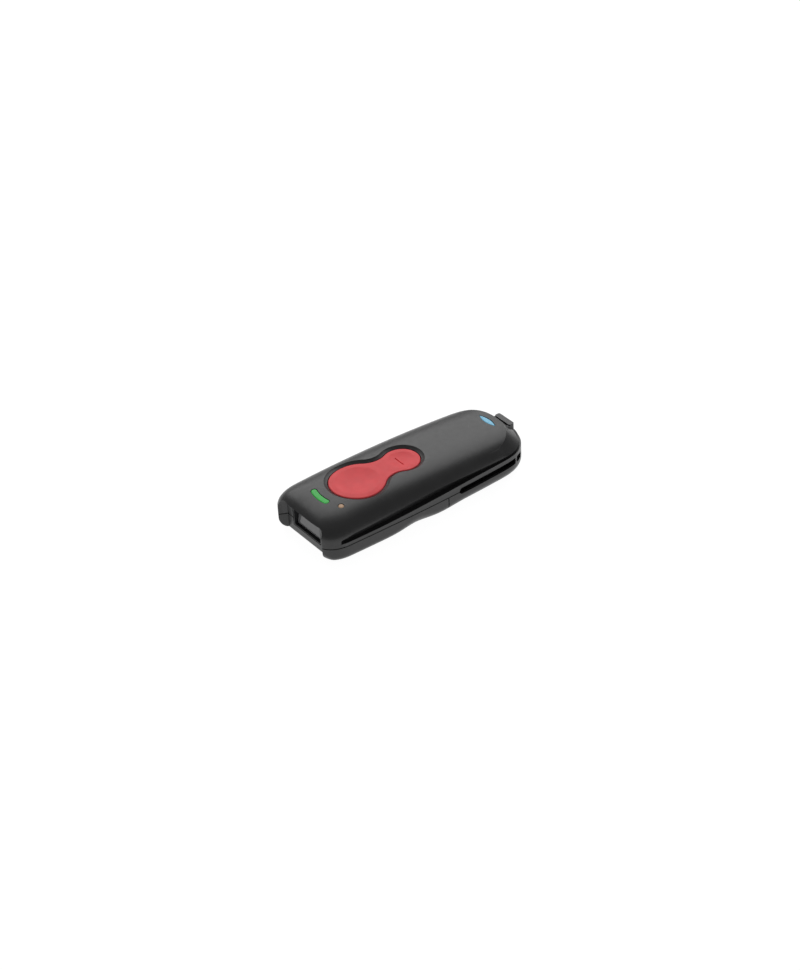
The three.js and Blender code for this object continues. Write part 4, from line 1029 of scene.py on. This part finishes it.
def rounded_copy(node, slot, bevel):
    """A copy of a CAD node with its triangles joined into faces and its edges rounded."""
    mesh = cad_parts[node].data.copy()
    mesh.transform(Matrix.Scale(1 / MM, 4))
    shape = bmesh.new()
    shape.from_mesh(mesh)
    bmesh.ops.remove_doubles(shape, verts=shape.verts, dist=0.002)
    flat = math.radians(2)
    bmesh.ops.dissolve_limit(
        shape, angle_limit=flat, verts=shape.verts, edges=shape.edges, use_dissolve_boundaries=False
    )
    shape.to_mesh(mesh)
    shape.free()
    made = bpy.data.objects.new(f"{node}_rounded", mesh)
    scene.collection.objects.link(made)
    finish(made, "housing", [node], LOOKS[slot], bevel=bevel, segments=3)


def inner_parts():
    for node, (slot, bevel) in INNER.items():
        rounded_copy(node, slot, bevel)
    for node, slot in CARRIED.items():
        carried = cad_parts[node]
        carried.data.materials.clear()
        carried.data.materials.append(LOOKS[slot])


# ---- Studio ----

def camera():
    """The camera at the photograph's viewing angle, by its own right, up and backward directions."""
    data = bpy.data.cameras.new("camera")
    data.sensor_width = 36
    data.lens = 89.94
    data.clip_start, data.clip_end = 0.01, 50
    made = bpy.data.objects.new("camera", data)
    right, up, back = (-0.7983, 0.6004, -0.0477), (-0.3794, -0.4398, 0.8140), (0.4678, 0.6679, 0.5788)
    place = (0.54176, 0.76881, 0.67356)
    made.matrix_world = Matrix([[right[i], up[i], back[i], place[i]] for i in range(3)] + [[0, 0, 0, 1]])
    scene.collection.objects.link(made)
    scene.camera = made


def floor():
    mesh = bpy.data.meshes.new("floor")
    half = 6
    corners = [(-half, -half, 0), (half, -half, 0), (half, half, 0), (-half, half, 0)]
    mesh.from_pydata(corners, [], [(0, 1, 2, 3)])
    made = bpy.data.objects.new("floor", mesh)
    made.location.z = -0.02 * MM
    look, _, shader, _ = node_material("floor_look")
    shader.inputs["Base Color"].default_value = (0.15, 0.15, 0.15, 1)
    shader.inputs["Roughness"].default_value = 0.9
    shader.inputs["Specular IOR Level"].default_value = 0
    shader.inputs["Emission Color"].default_value = (1, 1, 1, 1)
    shader.inputs["Emission Strength"].default_value = 0.96
    mesh.materials.append(look)
    scene.collection.objects.link(made)


def softbox(name, bearing, elevation, distance, width, height, radiance):
    """A soft light seen from the object at a compass bearing from +X and a height, both in degrees."""
    data = bpy.data.lights.new(name, "AREA")
    data.shape = "RECTANGLE"
    data.size, data.size_y = width, height
    data.energy = radiance * math.pi * width * height
    made = bpy.data.objects.new(name, data)
    turn, rise = math.radians(bearing), math.radians(elevation)
    way = np.array([math.cos(turn) * math.cos(rise), math.sin(turn) * math.cos(rise), math.sin(rise)])
    made.location = way * distance
    made.rotation_mode = "QUATERNION"
    made.rotation_quaternion = made.location.to_track_quat("Z", "Y")
    scene.collection.objects.link(made)


def studio():
    world = bpy.data.worlds.new("studio")
    world.use_nodes = True
    world.node_tree.nodes["Background"].inputs["Color"].default_value = (1, 1, 1, 1)
    world.node_tree.nodes["Background"].inputs["Strength"].default_value = 0.3
    scene.world = world
    scene.view_settings.view_transform = "Standard"
    softbox("back_softbox", bearing=235, elevation=42, distance=1.3, width=1.8, height=1.1, radiance=1.8)


# ---- The scanner ----

camera()
floor()
studio()
top_cover()
bottom_cover()
battery_door()
scan_key()
window_bezel()
scan_window()
light_pipe("green_bar", green_outline, 15.9, "good_read_light_pipe", "green_lens")
light_pipe("amber_dot", amber_outline, 15.9, "battery_light_pipe", "amber_lens")
light_pipe("blue_eye", blue_outline, 10.4, "radio_light_pipe", "blue_lens")
lanyard_bar()
usb_socket()
screws()
label_plate()
inner_parts()
